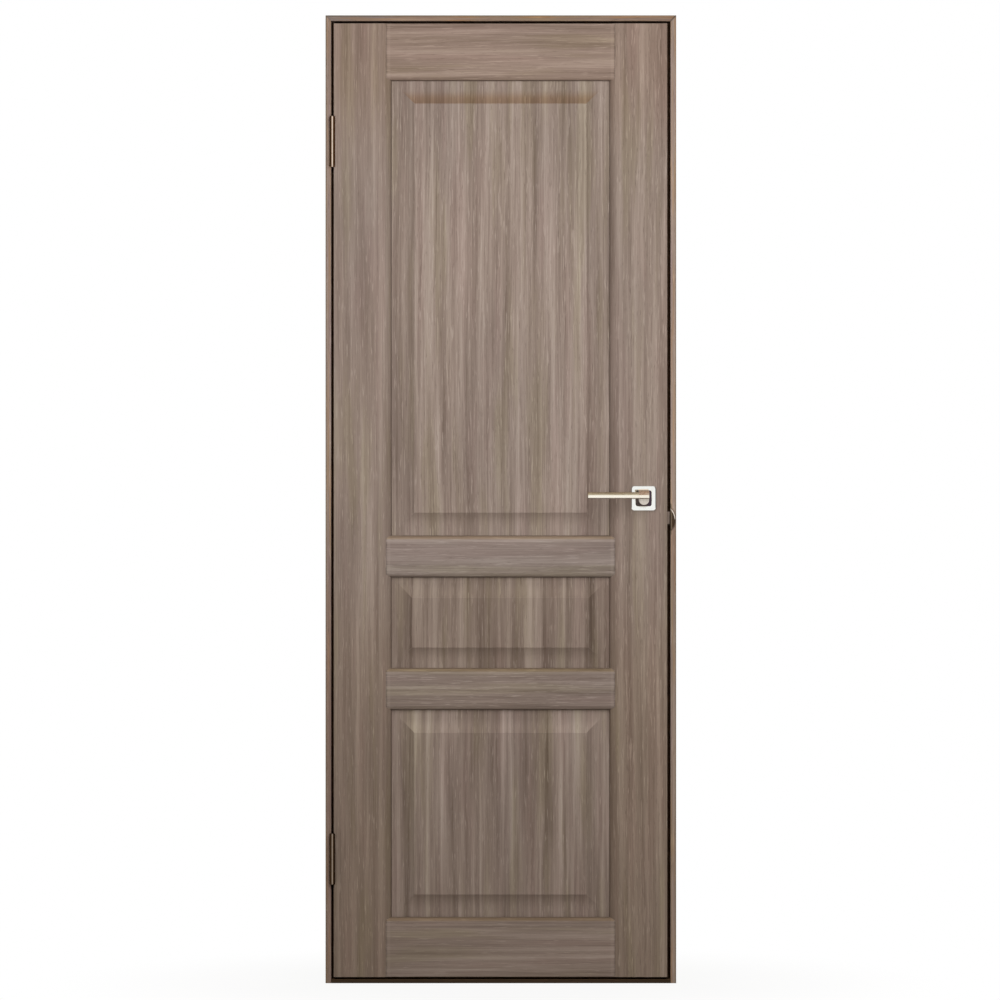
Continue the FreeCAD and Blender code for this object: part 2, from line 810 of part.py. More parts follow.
def build():
    """All the pieces of the door by name."""
    pieces = {}
    from_hinges = shift(0.0)
    from_lock = flip(frame_width)
    hinge_middles = {"upper": leaf_top - hinge_inset, "lower": leaf_bottom + hinge_inset}

    hinge_jamb = jamb(frame_board, from_hinges, 0.0)
    hinge_stile = stile(shift(leaf_left))
    for name, middle in hinge_middles.items():
        hinge_jamb = hinge_jamb.cut(hinge_recess(-1, middle))
        hinge_stile = hinge_stile.cut(hinge_recess(1, middle))
        pieces[name + "_hinge_frame_plate"] = hinge_plate(-1, middle, 0)
        pieces[name + "_hinge_leaf_plate"] = hinge_plate(1, middle, 1)
        pieces[name + "_hinge_pin"] = hinge_pin(middle)
    pieces["hinge_jamb"] = hinge_jamb
    strike_jamb = jamb(frame_board, from_lock, 0.0)
    pieces["strike_jamb"] = strike_jamb.cut(strike_recess()).cut(strike_pocket())
    pieces["frame_head"] = head(frame_board)
    pieces["threshold"] = threshold()
    pieces["hinge_stop"] = jamb(frame_stop, from_hinges, threshold_height)
    pieces["strike_stop"] = jamb(frame_stop, from_lock, threshold_height)
    pieces["head_stop"] = head(frame_stop)
    pieces["threshold_stop"] = threshold_stop()
    pieces["hinge_seal"] = jamb_seal(from_hinges)
    pieces["strike_seal"] = jamb_seal(from_lock)
    pieces["head_seal"] = head_seal()
    pieces["strike_plate"] = strike_plate()

    lock_stile = stile(flip(leaf_right))
    stiles = (hinge_stile, lock_stile)
    levels = rail_levels()
    for name, (low, height, low_moulding, high_moulding) in levels.items():
        pieces[name] = rail(low, height, low_moulding, high_moulding, stiles)
    pieces["hinge_stile"] = hinge_stile
    mortise = union([latch_case(), faceplate()])
    pieces["lock_stile"] = lock_stile.cut(mortise).cut(spindle_bore())
    pieces["latch_case"] = latch_case().cut(spindle_bore()).cut(bolt_guide())
    pieces["latch_faceplate"] = faceplate().cut(bolt_guide())
    pieces["latch_bolt"] = latch_bolt()

    lower_low = leaf_bottom + bottom_rail_height
    lower_high = levels["lower_middle_rail"][0]
    middle_low = lower_high + middle_rail_height
    middle_high = levels["upper_middle_rail"][0]
    upper_low = middle_high + middle_rail_height
    upper_high = levels["top_rail"][0]
    pieces["lower_panel"] = raised_panel(lower_low, lower_high, tall_panel_margin)
    pieces["middle_panel"] = raised_panel(middle_low, middle_high, middle_panel_margin)
    pieces["upper_panel"] = raised_panel(upper_low, upper_high, tall_panel_margin)

    pieces["spindle"] = spindle()
    for side, face in (("front", -1), ("rear", 1)):
        pieces[side + "_rose_bezel"] = rose_bezel(face)
        pieces[side + "_rose_inlay"] = rose_inlay(face)
        pieces[side + "_lever_neck"] = lever_neck(face)
        pieces[side + "_lever_grip"] = lever_grip(face)
    return pieces


os.makedirs("parts", exist_ok=True)
for piece_name, piece in build().items():
    piece.exportStep("parts/" + piece_name + ".step")
    print(piece_name, len(piece.Solids), piece.isValid(), round(piece.Volume))
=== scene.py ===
import json
import math
import random

import bpy
from bpy.props import FloatProperty, FloatVectorProperty, IntProperty, PointerProperty
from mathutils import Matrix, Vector

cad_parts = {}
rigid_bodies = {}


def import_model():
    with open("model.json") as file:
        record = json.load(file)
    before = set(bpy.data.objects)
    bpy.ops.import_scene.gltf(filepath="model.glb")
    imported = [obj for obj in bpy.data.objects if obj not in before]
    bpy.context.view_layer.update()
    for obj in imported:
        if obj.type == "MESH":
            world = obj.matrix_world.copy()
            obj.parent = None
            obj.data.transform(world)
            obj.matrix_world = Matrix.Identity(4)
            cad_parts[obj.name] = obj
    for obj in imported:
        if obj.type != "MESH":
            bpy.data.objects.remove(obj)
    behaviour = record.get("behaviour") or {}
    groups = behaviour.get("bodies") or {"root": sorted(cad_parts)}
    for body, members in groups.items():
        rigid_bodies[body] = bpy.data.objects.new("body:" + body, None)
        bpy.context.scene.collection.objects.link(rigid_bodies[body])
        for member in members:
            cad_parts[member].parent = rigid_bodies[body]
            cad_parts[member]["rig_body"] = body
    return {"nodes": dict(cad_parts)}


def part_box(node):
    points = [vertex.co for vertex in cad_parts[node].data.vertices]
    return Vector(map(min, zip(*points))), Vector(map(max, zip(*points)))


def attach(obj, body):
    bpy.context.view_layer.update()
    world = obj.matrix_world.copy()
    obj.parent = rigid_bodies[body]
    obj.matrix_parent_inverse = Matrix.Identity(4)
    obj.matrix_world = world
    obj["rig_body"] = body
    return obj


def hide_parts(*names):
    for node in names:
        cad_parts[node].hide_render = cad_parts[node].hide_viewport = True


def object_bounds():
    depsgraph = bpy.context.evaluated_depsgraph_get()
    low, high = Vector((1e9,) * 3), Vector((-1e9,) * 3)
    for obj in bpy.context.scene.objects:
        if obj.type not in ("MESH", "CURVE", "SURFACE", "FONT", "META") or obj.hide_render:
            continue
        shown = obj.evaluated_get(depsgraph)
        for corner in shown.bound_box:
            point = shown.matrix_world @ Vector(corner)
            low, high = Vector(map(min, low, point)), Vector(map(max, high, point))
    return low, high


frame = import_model()
cad_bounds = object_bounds()

bl_info = {
    "name": "Interior Door Finish",
    "version": (1, 0, 0),
    "blender": (4, 5, 0),
    "location": "3D View > Sidebar > Door",
    "description": "Veneer, metals, screws and a plain studio for the interior door",
    "category": "Object",
}

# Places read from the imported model, in metres. X runs from the hinge side to the lock side,
# Y from the front to the back and Z up.
NODES = frame["nodes"]
leaf_low = Vector(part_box("hinge_stile")[0])
leaf_high = Vector(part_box("lock_stile")[1])
leaf_middle_x = (leaf_low.x + leaf_high.x) / 2.0
leaf_middle_y = (leaf_low.y + leaf_high.y) / 2.0
half_opening_width = leaf_middle_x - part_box("hinge_stile")[1].x
half_rail_length = (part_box("top_rail")[1].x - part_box("top_rail")[0].x) / 2.0
frame_middle_x = (cad_bounds[0][0] + cad_bounds[1][0]) / 2.0
half_frame_width = frame_middle_x - cad_bounds[0][0]
frame_top = cad_bounds[1][2]
strike_jamb_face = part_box("strike_jamb")[0].x


# Settings that a user would change

def colour_setting(name, description, default):
    """Colour of a finish."""
    return FloatVectorProperty(
        name=name, description=description, subtype="COLOR", size=3, min=0.0, max=1.0, default=default,
    )


def length_setting(name, description, default, **limits):
    """Length in metres."""
    return FloatProperty(
        name=name, description=description, subtype="DISTANCE", unit="LENGTH", default=default, **limits,
    )


def power_setting(name, description, default):
    """Power of a lamp in watts."""
    return FloatProperty(name=name, description=description, subtype="POWER", unit="POWER", default=default)


class DOOR_PG_wood(bpy.types.PropertyGroup):
    """Colours and relief of the veneer, the threshold and the seals."""
    dark: colour_setting("Dark grain", "Colour of the darkest growth lines", (0.120, 0.083, 0.063))
    middle: colour_setting("Ground", "Colour of most of the veneer", (0.262, 0.200, 0.166))
    light: colour_setting("Light grain", "Colour of the palest fibres", (0.46, 0.378, 0.325))
    # The joint line colour is painted shade in the quirks beside the mouldings, in the seams at the rail ends
    # and in the frame's mitres.
    joint: colour_setting("Joint line", "Colour in the joints beside the mouldings", (0.045, 0.030, 0.022))
    # The edge colour is painted shade on the edges that face a gap.
    edge: colour_setting("Edge shade", "Colour of the edges that face a gap", (0.055, 0.034, 0.022))
    threshold: colour_setting("Threshold stain", "Ground colour of the threshold", (0.044, 0.026, 0.014))
    seal: colour_setting("Seal", "Colour of the rubber seal", (0.062, 0.031, 0.015))
    relief: length_setting("Grain relief", "Depth of the open grain", 0.00035, min=0.0, max=0.002)


class DOOR_PG_metal(bpy.types.PropertyGroup):
    """Colours of the metals."""
    # The hinge colour shows on the front of the barrels, whose sides are painted dark as a painted reflection.
    hinge: colour_setting("Hinge bronze", "Colour of the plated hinges", (0.96, 0.80, 0.67))
    strike: colour_setting("Strike bronze", "Colour of the dark strike and faceplate", (0.150, 0.112, 0.076))
    bolt: colour_setting("Bolt bronze", "Colour of the dull latch bolt", (0.310, 0.232, 0.188))
    # The rim colour is for edges that are partly wear and partly a painted highlight, and for the painted
    # highlight on the strike tongue's rim.
    rim: colour_setting("Bright rim", "Colour where the bronze is rubbed bright", (0.98, 0.86, 0.74))
    zinc: colour_setting("Zinc", "Colour of the plated latch case and spindle", (0.55, 0.56, 0.57))
    chrome: colour_setting("Polished rose", "Colour of the polished rose", (0.93, 0.94, 0.90))
    inlay: colour_setting("Rose window", "Colour of the dark plate in the rose", (0.105, 0.082, 0.074))
    nickel: colour_setting("Satin nickel", "Colour of the lever's face", (1.0, 0.935, 0.81))
    # The lever slope colour is a painted reflection on the slope that faces up.
    nickel_top: colour_setting("Lever slope", "Colour of the lever's bronzed upper slope", (0.56, 0.46, 0.25))
    edge_round: length_setting("Metal edge", "Width of the rounded edges", 0.0004, min=0.0, max=0.002)


class DOOR_PG_screws(bpy.types.PropertyGroup):
    """Sizes of the countersunk screws."""
    hinge_radius: length_setting("Hinge screw", "Radius of a hinge screw's head", 0.0038, min=0.001, max=0.008)
    latch_radius: length_setting("Latch screw", "Radius of a latch screw's head", 0.0032, min=0.001, max=0.008)
    proud: length_setting("Head height", "How far a head stands above its plate", 0.0002, min=0.0, max=0.001)
    per_plate: IntProperty(
        name="Screws in a hinge plate", description="Number of screws in each hinge plate",
        min=2, max=6, default=4,
    )
    seed: IntProperty(name="Slot turn", description="Seed for how far each head is turned", default=7)


class DOOR_PG_stage(bpy.types.PropertyGroup):
    """Lamps, room light and lens."""
    key_height: length_setting("Key height", "Height of the front lamp", 1.65)
    key_distance: length_setting("Key distance", "Distance of the front lamp from the door", 1.5)
    key_side: length_setting("Key offset", "How far the front lamp stands to the lock side", 0.15)
    key_size: length_setting("Key size", "Side of the front lamp", 1.7)
    key_power: power_setting("Key power", "Power of the front lamp", 28.0)
    rear_power: power_setting("Rear power", "Power of each lamp behind the door", 26.0)
    air: FloatProperty(name="Room light", description="Brightness of the light from all round", default=0.24)
    lens: FloatProperty(
        name="Lens", description="Focal length of the camera", subtype="DISTANCE_CAMERA", default=200.0,
    )


# Building materials and node groups

class Shading:
    """Adds nodes to the tree of a material or a node group."""

    def __init__(self, tree):
        self.tree = tree

    def feed(self, socket, value):
        """Links a socket to another one, or sets its value."""
        if isinstance(value, bpy.types.NodeSocket):
            self.tree.links.new(value, socket)
        elif socket.type == "RGBA" and len(value) == 3:
            socket.default_value = (*value, 1.0)
        else:
            socket.default_value = value

    def node(self, kind, inputs, **settings):
        """New shader node with its settings and inputs."""
        made = self.tree.nodes.new("ShaderNode" + kind)
        for name, value in settings.items():
            setattr(made, name, value)
        for name, value in inputs.items():
            self.feed(made.inputs[name], value)
        return made

    def math(self, operation, *values):
        """Result of a calculation with one to three values."""
        return self.node("Math", dict(enumerate(values)), operation=operation).outputs[0]

    def noise(self, vector, size, detail=2.0, roughness=0.5):
        """Noise from 0 to 1, whose blotches have the given size along each axis."""
        shares = [1.0 / length for length in size]
        scaled = self.node("VectorMath", {0: vector, 1: shares}, operation="MULTIPLY").outputs[0]
        inputs = {"Vector": scaled, "Scale": 1.0, "Detail": detail, "Roughness": roughness}
        return self.node("TexNoise", inputs, noise_dimensions="3D").outputs[0]

    def step(self, value, start, end, low=0.0, high=1.0, change="SMOOTHSTEP"):
        """Smooth step from low to high as the value goes from start to end."""
        inputs = {"Value": value, "From Min": start, "From Max": end, "To Min": low, "To Max": high}
        return self.node("MapRange", inputs, interpolation_type=change).outputs[0]

    def ramp(self, value, start, end):
        """Straight change from 0 to 1 as the value goes from start to end."""
        return self.step(value, start, end, change="LINEAR")

    def band(self, value, middle, half_width):
        """Mask of a soft line: 1 at the middle and 0 beyond the half width."""
        off = self.math("ABSOLUTE", self.math("SUBTRACT", value, middle))
        return self.step(off, half_width, half_width * 0.35)

    def mix(self, share, first, second, blend="MIX"):
        """Two colours mixed."""
        inputs = {0: share, 6: first, 7: second}
        return self.node("Mix", inputs, data_type="RGBA", blend_type=blend).outputs[2]

    def towards(self, colour, mask, strength, tint):
        """Colour turned towards a tint where the mask is 1."""
        return self.mix(self.math("MULTIPLY", mask, strength), colour, tint)

    def tinted(self, colour, mask, strength, share):
        """Colour times a share of each of its values where the mask is 1."""
        return self.towards(colour, mask, strength, self.mix(1.0, colour, share, "MULTIPLY"))

    def group(self, name, inputs):
        """Sockets of a node group placed in this tree."""
        made = self.tree.nodes.new("ShaderNodeGroup")
        made.node_tree = bpy.data.node_groups[name]
        for socket, value in inputs.items():
            self.feed(made.inputs[socket], value)
        return made.outputs

    def parts(self, vector):
        """The three values of a vector."""
        return self.node("SeparateXYZ", {0: vector}).outputs

    def coordinates(self, kind="Object"):
        """Place on the surface in the object's own axes, or another kind of coordinates."""
        return self.node("TexCoord", {}).outputs[kind]

    def place(self):
        """The three values of the place."""
        return self.parts(self.coordinates())

    def direction(self):
        """The three values of the surface's direction."""
        return self.parts(self.coordinates("Normal"))


def new_group(name, inputs, outputs):
    """Node group with a vector, numbers and colours as inputs, each of these with its default.

    Returns its shading, the sockets that it is given and the sockets of its result.
    """
    tree = bpy.data.node_groups.new(name, "ShaderNodeTree")
    tree.interface.new_socket(name="Vector", in_out="INPUT", socket_type="NodeSocketVector")
    for socket, default in inputs.items():
        is_colour = isinstance(default, tuple)
        kind = "NodeSocketColor" if is_colour else "NodeSocketFloat"
        made = tree.interface.new_socket(name=socket, in_out="INPUT", socket_type=kind)
        made.default_value = (*default, 1.0) if is_colour else default
    for socket in outputs:
        kind = "NodeSocketColor" if socket == "Color" else "NodeSocketFloat"
        tree.interface.new_socket(name=socket, in_out="OUTPUT", socket_type=kind)
    entry = tree.nodes.new("NodeGroupInput")
    leave = tree.nodes.new("NodeGroupOutput")
    return Shading(tree), entry.outputs, leave.inputs


# Sizes of the veneer's blotches across the grain, through the board and along the grain
THROUGH = 0.35
SWAY_SIZE = (0.35, THROUGH, 0.9)
RIPPLE_SIZE = (0.030, THROUGH, 0.11)
BAND_SIZE = (0.032, THROUGH, 1.10)
STREAK_SIZE = (0.0085, THROUGH, 0.48)
FIBRE_SIZE = (0.0020, THROUGH, 0.13)
PORE_SIZE = (0.0016, THROUGH, 0.024)
FLECK_SIZE = (0.0024, THROUGH, 0.045)
HUE_SIZE = (0.032, THROUGH, 0.42)
SHADE_SIZE = (0.11, THROUGH, 0.6)


def build_grain_group():
    """Veneer grain along Z, a little wavy: broad bands, streaks, fibres, dark pores and pale flecks."""
    tree, given, result = new_group(
        "wood_grain",
        {
            "Dark": (0.12, 0.09, 0.07), "Middle": (0.24, 0.18, 0.14), "Light": (0.4, 0.33, 0.29),
            "Bands": 0.6, "Streaks": 0.8, "Fibres": 0.5, "Pores": 0.5,
        },
        ("Color", "Height", "Roughness"),
    )

    def spread(vector, size, strength, detail=2.0, roughness=0.5):
        """Noise about 0, times a strength."""
        centred = tree.math("SUBTRACT", tree.noise(vector, size, detail, roughness), 0.5)
        return tree.math("MULTIPLY", centred, strength)

    vector = given["Vector"]
    sway = tree.math("ADD", spread(vector, SWAY_SIZE, 0.02), spread(vector, RIPPLE_SIZE, 0.0025))
    offset = tree.node("CombineXYZ", {"X": sway}).outputs[0]
    place = tree.node("VectorMath", {0: vector, 1: offset}, operation="ADD").outputs[0]
    bands = spread(place, BAND_SIZE, given["Bands"], roughness=0.68)
    streaks = spread(place, STREAK_SIZE, given["Streaks"])
    fibres = spread(place, FIBRE_SIZE, given["Fibres"], 3.0, 0.62)
    tone = tree.math("ADD", tree.math("ADD", bands, streaks), fibres)
    lower = tree.mix(tree.ramp(tone, -0.42, 0.0), given["Dark"], given["Middle"])
    colour = tree.mix(tree.ramp(tone, 0.0, 0.46), lower, given["Light"])
    pores = tree.step(tree.noise(place, PORE_SIZE, roughness=0.6), 0.62, 0.74)
    colour = tree.towards(colour, pores, given["Pores"], tree.mix(0.70, colour, given["Dark"]))
    flecks = tree.step(tree.noise(place, FLECK_SIZE, roughness=0.6), 0.58, 0.68)
    fleck_strength = tree.math("MULTIPLY", given["Pores"], 0.75)
    tree.feed(result["Color"], tree.towards(colour, flecks, fleck_strength, given["Light"]))
    relief = tree.math("SUBTRACT", tree.math("MULTIPLY", fibres, 0.7), tree.math("MULTIPLY", pores, 0.6))
    tree.feed(result["Height"], tree.math("MULTIPLY_ADD", streaks, 0.5, relief))
    tree.feed(result["Roughness"], tree.math("MULTIPLY_ADD", tone, -0.14, 0.5))


OLIVE_DRIFT = (0.965, 0.985, 0.90)
PINK_DRIFT = (1.005, 0.972, 0.985)
DARK_DRIFT = (0.90, 0.90, 0.91)


def build_drift_group():
    """Slow drift of the veneer between olive, grey and pink, and between light and dark."""
    tree, given, result = new_group("hue_drift", {"Color": (0.5, 0.5, 0.5), "Strength": 1.0}, ("Color",))
    hue = tree.noise(given["Vector"], HUE_SIZE, 3.0)
    tone = tree.noise(given["Vector"], SHADE_SIZE, 1.0)
    colour = given["Color"]
    drifts = ((hue, 0.50, 0.68, OLIVE_DRIFT), (hue, 0.50, 0.32, PINK_DRIFT), (tone, 0.55, 0.30, DARK_DRIFT))
    for value, start, end, share in drifts:
        colour = tree.tinted(colour, tree.step(value, start, end), given["Strength"], share)
    tree.feed(result["Color"], colour)


PATCH_SIZE = (0.012, 0.012, 0.012)


def build_edge_group():
    """Mask that is 1 on sharp outer edges, for wear there and for a painted highlight on them."""
    tree, given, result = new_group("edge_wear_and_highlight", {"Radius": 0.001, "Amount": 1.0}, ("Mask",))
    rounded = tree.node("Bevel", {"Radius": given["Radius"]}, samples=4).outputs[0]
    flat = tree.node("NewGeometry", {}).outputs["Normal"]
    agree = tree.node("VectorMath", {0: rounded, 1: flat}, operation="DOT_PRODUCT").outputs["Value"]
    edge = tree.step(agree, 0.985, 0.90)
    patchy = tree.step(tree.noise(given["Vector"], PATCH_SIZE, 3.0), 0.38, 0.62)
    tree.feed(result["Mask"], tree.math("MULTIPLY", tree.math("MULTIPLY", edge, patchy), given["Amount"]))


BRUSH_LINE_SIZE = (0.00022, 0.00022, 0.03)
SMUDGE_SIZE = (0.011, 0.011, 0.016)


def build_brush_group():
    """Fine brush lines and finger smudges of metal, with the lines along Z."""
    tree, given, result = new_group(
        "brushed_metal",
        {"Color": (0.5, 0.5, 0.5), "Stain": (0.3, 0.3, 0.3), "Roughness": 0.25, "Lines": 1.0, "Smudge": 1.0},
        ("Color", "Roughness", "Height"),
    )
    lines = tree.noise(given["Vector"], BRUSH_LINE_SIZE, roughness=0.6)
    smudge = tree.step(tree.noise(given["Vector"], SMUDGE_SIZE, 4.0, 0.6), 0.42, 0.72)
    smudged = tree.math("MULTIPLY", smudge, given["Smudge"])
    colour = tree.towards(given["Color"], smudged, 0.35, given["Stain"])
    lined = tree.mix(tree.step(lines, 0.3, 0.7), given["Stain"], colour)
    tree.feed(result["Color"], tree.mix(0.5, colour, lined))
    scratch = tree.math("MULTIPLY", tree.math("SUBTRACT", lines, 0.5), given["Lines"])
    rough = tree.math("MULTIPLY_ADD", smudged, 0.14, given["Roughness"])
    tree.feed(result["Roughness"], tree.math("MULTIPLY_ADD", scratch, 0.22, rough))
    tree.feed(result["Height"], scratch)


def new_material(name):
    """Material with an empty tree. Returns it with its shading and its output node."""
    material = bpy.data.materials.new(name)
    material.use_nodes = True
    material.node_tree.nodes.clear()
    output = material.node_tree.nodes.new("ShaderNodeOutputMaterial")
    return material, Shading(material.node_tree), output


def bump(tree, height, distance):
    """Normal from a height."""
    return tree.node("Bump", {"Height": height, "Distance": distance, "Strength": 1.0}).outputs[0]


def principled(tree, output, **inputs):
    """Surface shader. Underscores in the names stand for spaces."""
    named = {name.replace("_", " "): value for name, value in inputs.items()}
    shader = tree.node("BsdfPrincipled", named)
    tree.feed(output.inputs["Surface"], shader.outputs[0])


def toned(colour, shares):
    """Colour times a share of each of its values."""
    return tuple(value * share for value, share in zip(colour, shares))


def shaded(colour, factor):
    """Colour times a factor."""
    return toned(colour, (factor, factor, factor))


def wear(node_name, material):
    """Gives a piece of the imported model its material."""
    materials = NODES[node_name].data.materials
    materials.clear()
    materials.append(material)


# Veneer

UPRIGHT = ("X", "Z")
LEVEL = ("Z", "X")
OTHER_FACE = 5.0
PLAIN_TONE = (1.0, 1.0, 1.0)


def board_pattern(tree, grain, shift):
    """Values of the place, the pattern's vector and the mask of a board's edges.

    The pattern doesn't change with depth on a face, so that the grain runs straight over
    mouldings and coves. On an edge the depth takes the place of the width.
    """
    across, along = grain
    place = tree.place()
    direction = tree.direction()
    on_edge = tree.step(tree.math("ABSOLUTE", direction[across]), 0.80, 0.90)
    width = tree.math("MULTIPLY_ADD", on_edge, place["Y"], place[across])
    face = tree.step(direction["Y"], -0.2, 0.2, 0.0, OTHER_FACE)
    moved = [tree.math("ADD", value, move) for value, move in zip((width, face, place[along]), shift)]
    pattern = tree.node("CombineXYZ", dict(enumerate(moved))).outputs[0]
    return place, pattern, on_edge


def off_middle(tree, place, middle_x=leaf_middle_x):
    """Distance from an upright middle line, which is the leaf's unless another is given."""
    return tree.math("ABSOLUTE", tree.math("SUBTRACT", place["X"], middle_x))


def inside_frame(tree, place):
    """Mask that is 0 on the outermost faces of the frame, which the wall hides."""
    skin, deep = 0.0004, 0.0008
    off = off_middle(tree, place, frame_middle_x)
    beside = tree.step(off, half_frame_width - skin, half_frame_width - deep)
    below = tree.step(place["Z"], frame_top - skin, frame_top - deep)
    return tree.math("MULTIPLY", beside, below)


def wooden(node_name, finish, grain, shift, colours, figure, paint, specular):
    """Gives a piece of wood its grain and a veneer or a stain.

    Grain names the axes across and along it, shift moves the pattern so that no two boards look
    alike, colours are its dark, middle and light ones, figure holds the strengths of the grain, and
    paint returns the finished colour.
    """
    material, tree, output = new_material(node_name + finish)
    place, pattern, on_edge = board_pattern(tree, grain, shift)
    colours = dict(zip(("Dark", "Middle", "Light"), colours))
    grains = tree.group("wood_grain", {"Vector": pattern, **colours, **figure})
    principled(
        tree, output, Base_Color=paint(tree, place, pattern, on_edge, grains["Color"]),
        Roughness=grains["Roughness"], Specular_IOR_Level=specular,
        Normal=bump(tree, grains["Height"], bpy.context.scene.door_wood.relief),
    )
    wear(node_name, material)


def veneer(node_name, grain, shift, figure, marks, tone=PLAIN_TONE):
    """Veneers a board. Marks paints what depends on the place, and tone is its share of each colour."""
    wood = bpy.context.scene.door_wood

    def paint(tree, place, pattern, on_edge, colour):
        colour = marks(tree, place, tree.group("hue_drift", {"Vector": pattern, "Color": colour})["Color"])
        # Painted shade on the edges that face a gap, except on the frame's outermost faces.
        stain = tree.math("MULTIPLY", on_edge, inside_frame(tree, place))
        # Sharp edges turn towards the light grain colour, partly as wear and partly as a painted highlight.
        worn_and_lit = tree.group("edge_wear_and_highlight", {"Vector": pattern, "Radius": 0.0014, "Amount": 0.35})["Mask"]
        return tree.mix(worn_and_lit, tree.towards(colour, stain, 0.36, wood.edge), wood.light)

    colours = [toned(colour, tone) for colour in (wood.dark, wood.middle, wood.light)]
    wooden(node_name, "_veneer", grain, shift, colours, figure, paint, 0.28)


WARM_TOP = (1.00, 0.94, 0.90)
WARM_FOOT = (0.98, 0.96, 0.90)
OLIVE_SLOPE = (0.94, 0.84, 0.62)
STILE_MOULDING = 0.0175
RAIL_MOULDING = 0.009
WIDE_RAIL_MOULDING = 0.0135
JOINT_WIDTH = 0.0030


def warm_top(tree, place, colour):
    """Colour that turns a little warmer towards the top of the leaf."""
    return tree.tinted(colour, tree.step(place["Z"], leaf_high.z - 0.32, leaf_high.z - 0.08), 1.0, WARM_TOP)


def stile_marks(tree, place, colour):
    """Painted shade on the moulding's hollow and in the joint beside the panels, a painted highlight on the
    moulding's arris, and a warmer foot.
    """
    wood = bpy.context.scene.door_wood
    inset = tree.math("SUBTRACT", off_middle(tree, place), half_opening_width)
    hollow = tree.step(inset, STILE_MOULDING, STILE_MOULDING * 0.5)
    joint = tree.step(inset, JOINT_WIDTH, JOINT_WIDTH * 0.3)
    arris = tree.band(inset, STILE_MOULDING + 0.006, 0.006)
    # Painted shade over the moulding's hollow and in its joint with the panel.
    colour = tree.towards(colour, hollow, 0.36, wood.dark)
    colour = tree.towards(colour, joint, 0.45, wood.joint)
    # Painted highlight along the moulding's arris.
    colour = tree.towards(colour, arris, 0.18, wood.light)
    colour = tree.tinted(colour, tree.step(place["Z"], 0.95, 0.60), 1.0, WARM_FOOT)
    return warm_top(tree, place, colour)


def rail_marks(tree, place, colour):
    """Painted shade in the seam and a painted highlight on the rounded end beside the stiles, and the tones of
    the two mouldings: an olive tint with a painted highlight on the arris above, painted shade below.
    """
    wood = bpy.context.scene.door_wood
    off = off_middle(tree, place)
    seam = tree.step(off, half_rail_length - 0.0022, half_rail_length - 0.0006)
    end = tree.band(off, half_rail_length - 0.0065, 0.0040)
    # Painted highlight on the rounded end and painted shade in the seam beside the stile.
    colour = tree.towards(colour, end, 0.12, wood.light)
    colour = tree.towards(colour, seam, 0.60, wood.joint)
    for name in ("bottom_rail", "lower_middle_rail", "upper_middle_rail"):
        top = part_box(name)[1].z
        width = WIDE_RAIL_MOULDING if name == "bottom_rail" else RAIL_MOULDING
        slope = tree.band(place["Z"], top - 0.004, 0.0055)
        arris = tree.band(place["Z"], top - width - 0.002, 0.0032)
        colour = tree.tinted(colour, slope, 0.8, OLIVE_SLOPE)
        # Painted highlight on the arris of the upper moulding.
        colour = tree.towards(colour, arris, 0.22, wood.light)
    for name in ("lower_middle_rail", "upper_middle_rail", "top_rail"):
        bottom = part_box(name)[0].z
        here = tree.step(place["Z"], bottom - 0.001, bottom)
        slope = tree.step(place["Z"], bottom + RAIL_MOULDING, bottom + JOINT_WIDTH)
        joint = tree.step(place["Z"], bottom + JOINT_WIDTH, bottom)
        # Painted shade on the lower moulding, which faces down, and in its joint with the panel.
        colour = tree.towards(colour, tree.math("MULTIPLY", slope, here), 0.25, wood.dark)
        colour = tree.towards(colour, tree.math("MULTIPLY", joint, here), 0.55, wood.joint)
    return warm_top(tree, place, colour)


def panel_marks(top_share, side_strength):
    """Painted shade on a raised panel's side and lower coves, and its own share on the upper coves, which is
    painted light on the lower and middle panels and browner painted shade on the upper one.
    """
    def marks(tree, place, colour):
        dark = bpy.context.scene.door_wood.dark
        direction = tree.direction()
        beside = tree.step(tree.math("ABSOLUTE", direction["X"]), 0.10, 0.62)
        below = tree.step(direction["Z"], -0.12, -0.62)
        above = tree.step(direction["Z"], 0.05, 0.45)
        # Painted shade on the coves beside and below the plateau, and the upper cove's own share of painted
        # light and shade.
        colour = tree.towards(colour, beside, side_strength, dark)
        colour = tree.towards(colour, below, 0.20, dark)
        return tree.tinted(colour, above, 1.0, top_share)
    return marks


OLIVE_ARRIS = (0.150, 0.115, 0.060)
RUST_ARRIS = (0.300, 0.175, 0.090)
ORANGE_STREAK = (1.09, 0.96, 0.78)
VIOLET_STREAK = (0.90, 0.86, 0.95)
ORANGE_HEAD = (1.20, 0.98, 0.72)
VIOLET_HEAD = (0.80, 0.78, 0.95)
GREY_END = (0.80, 0.92, 1.18)
BROWN_FOOT = (0.84, 0.80, 0.76)
DULL_FOOT = (0.91, 0.90, 0.88)
HUE_STREAK_SIZE = (0.0045, 0.16, 1.0)
SEAM_WIDTH = 0.0026


def facing_front(tree):
    """Mask that is 1 on surfaces that face the front."""
    return tree.step(tree.direction()["Y"], -0.3, -0.8)


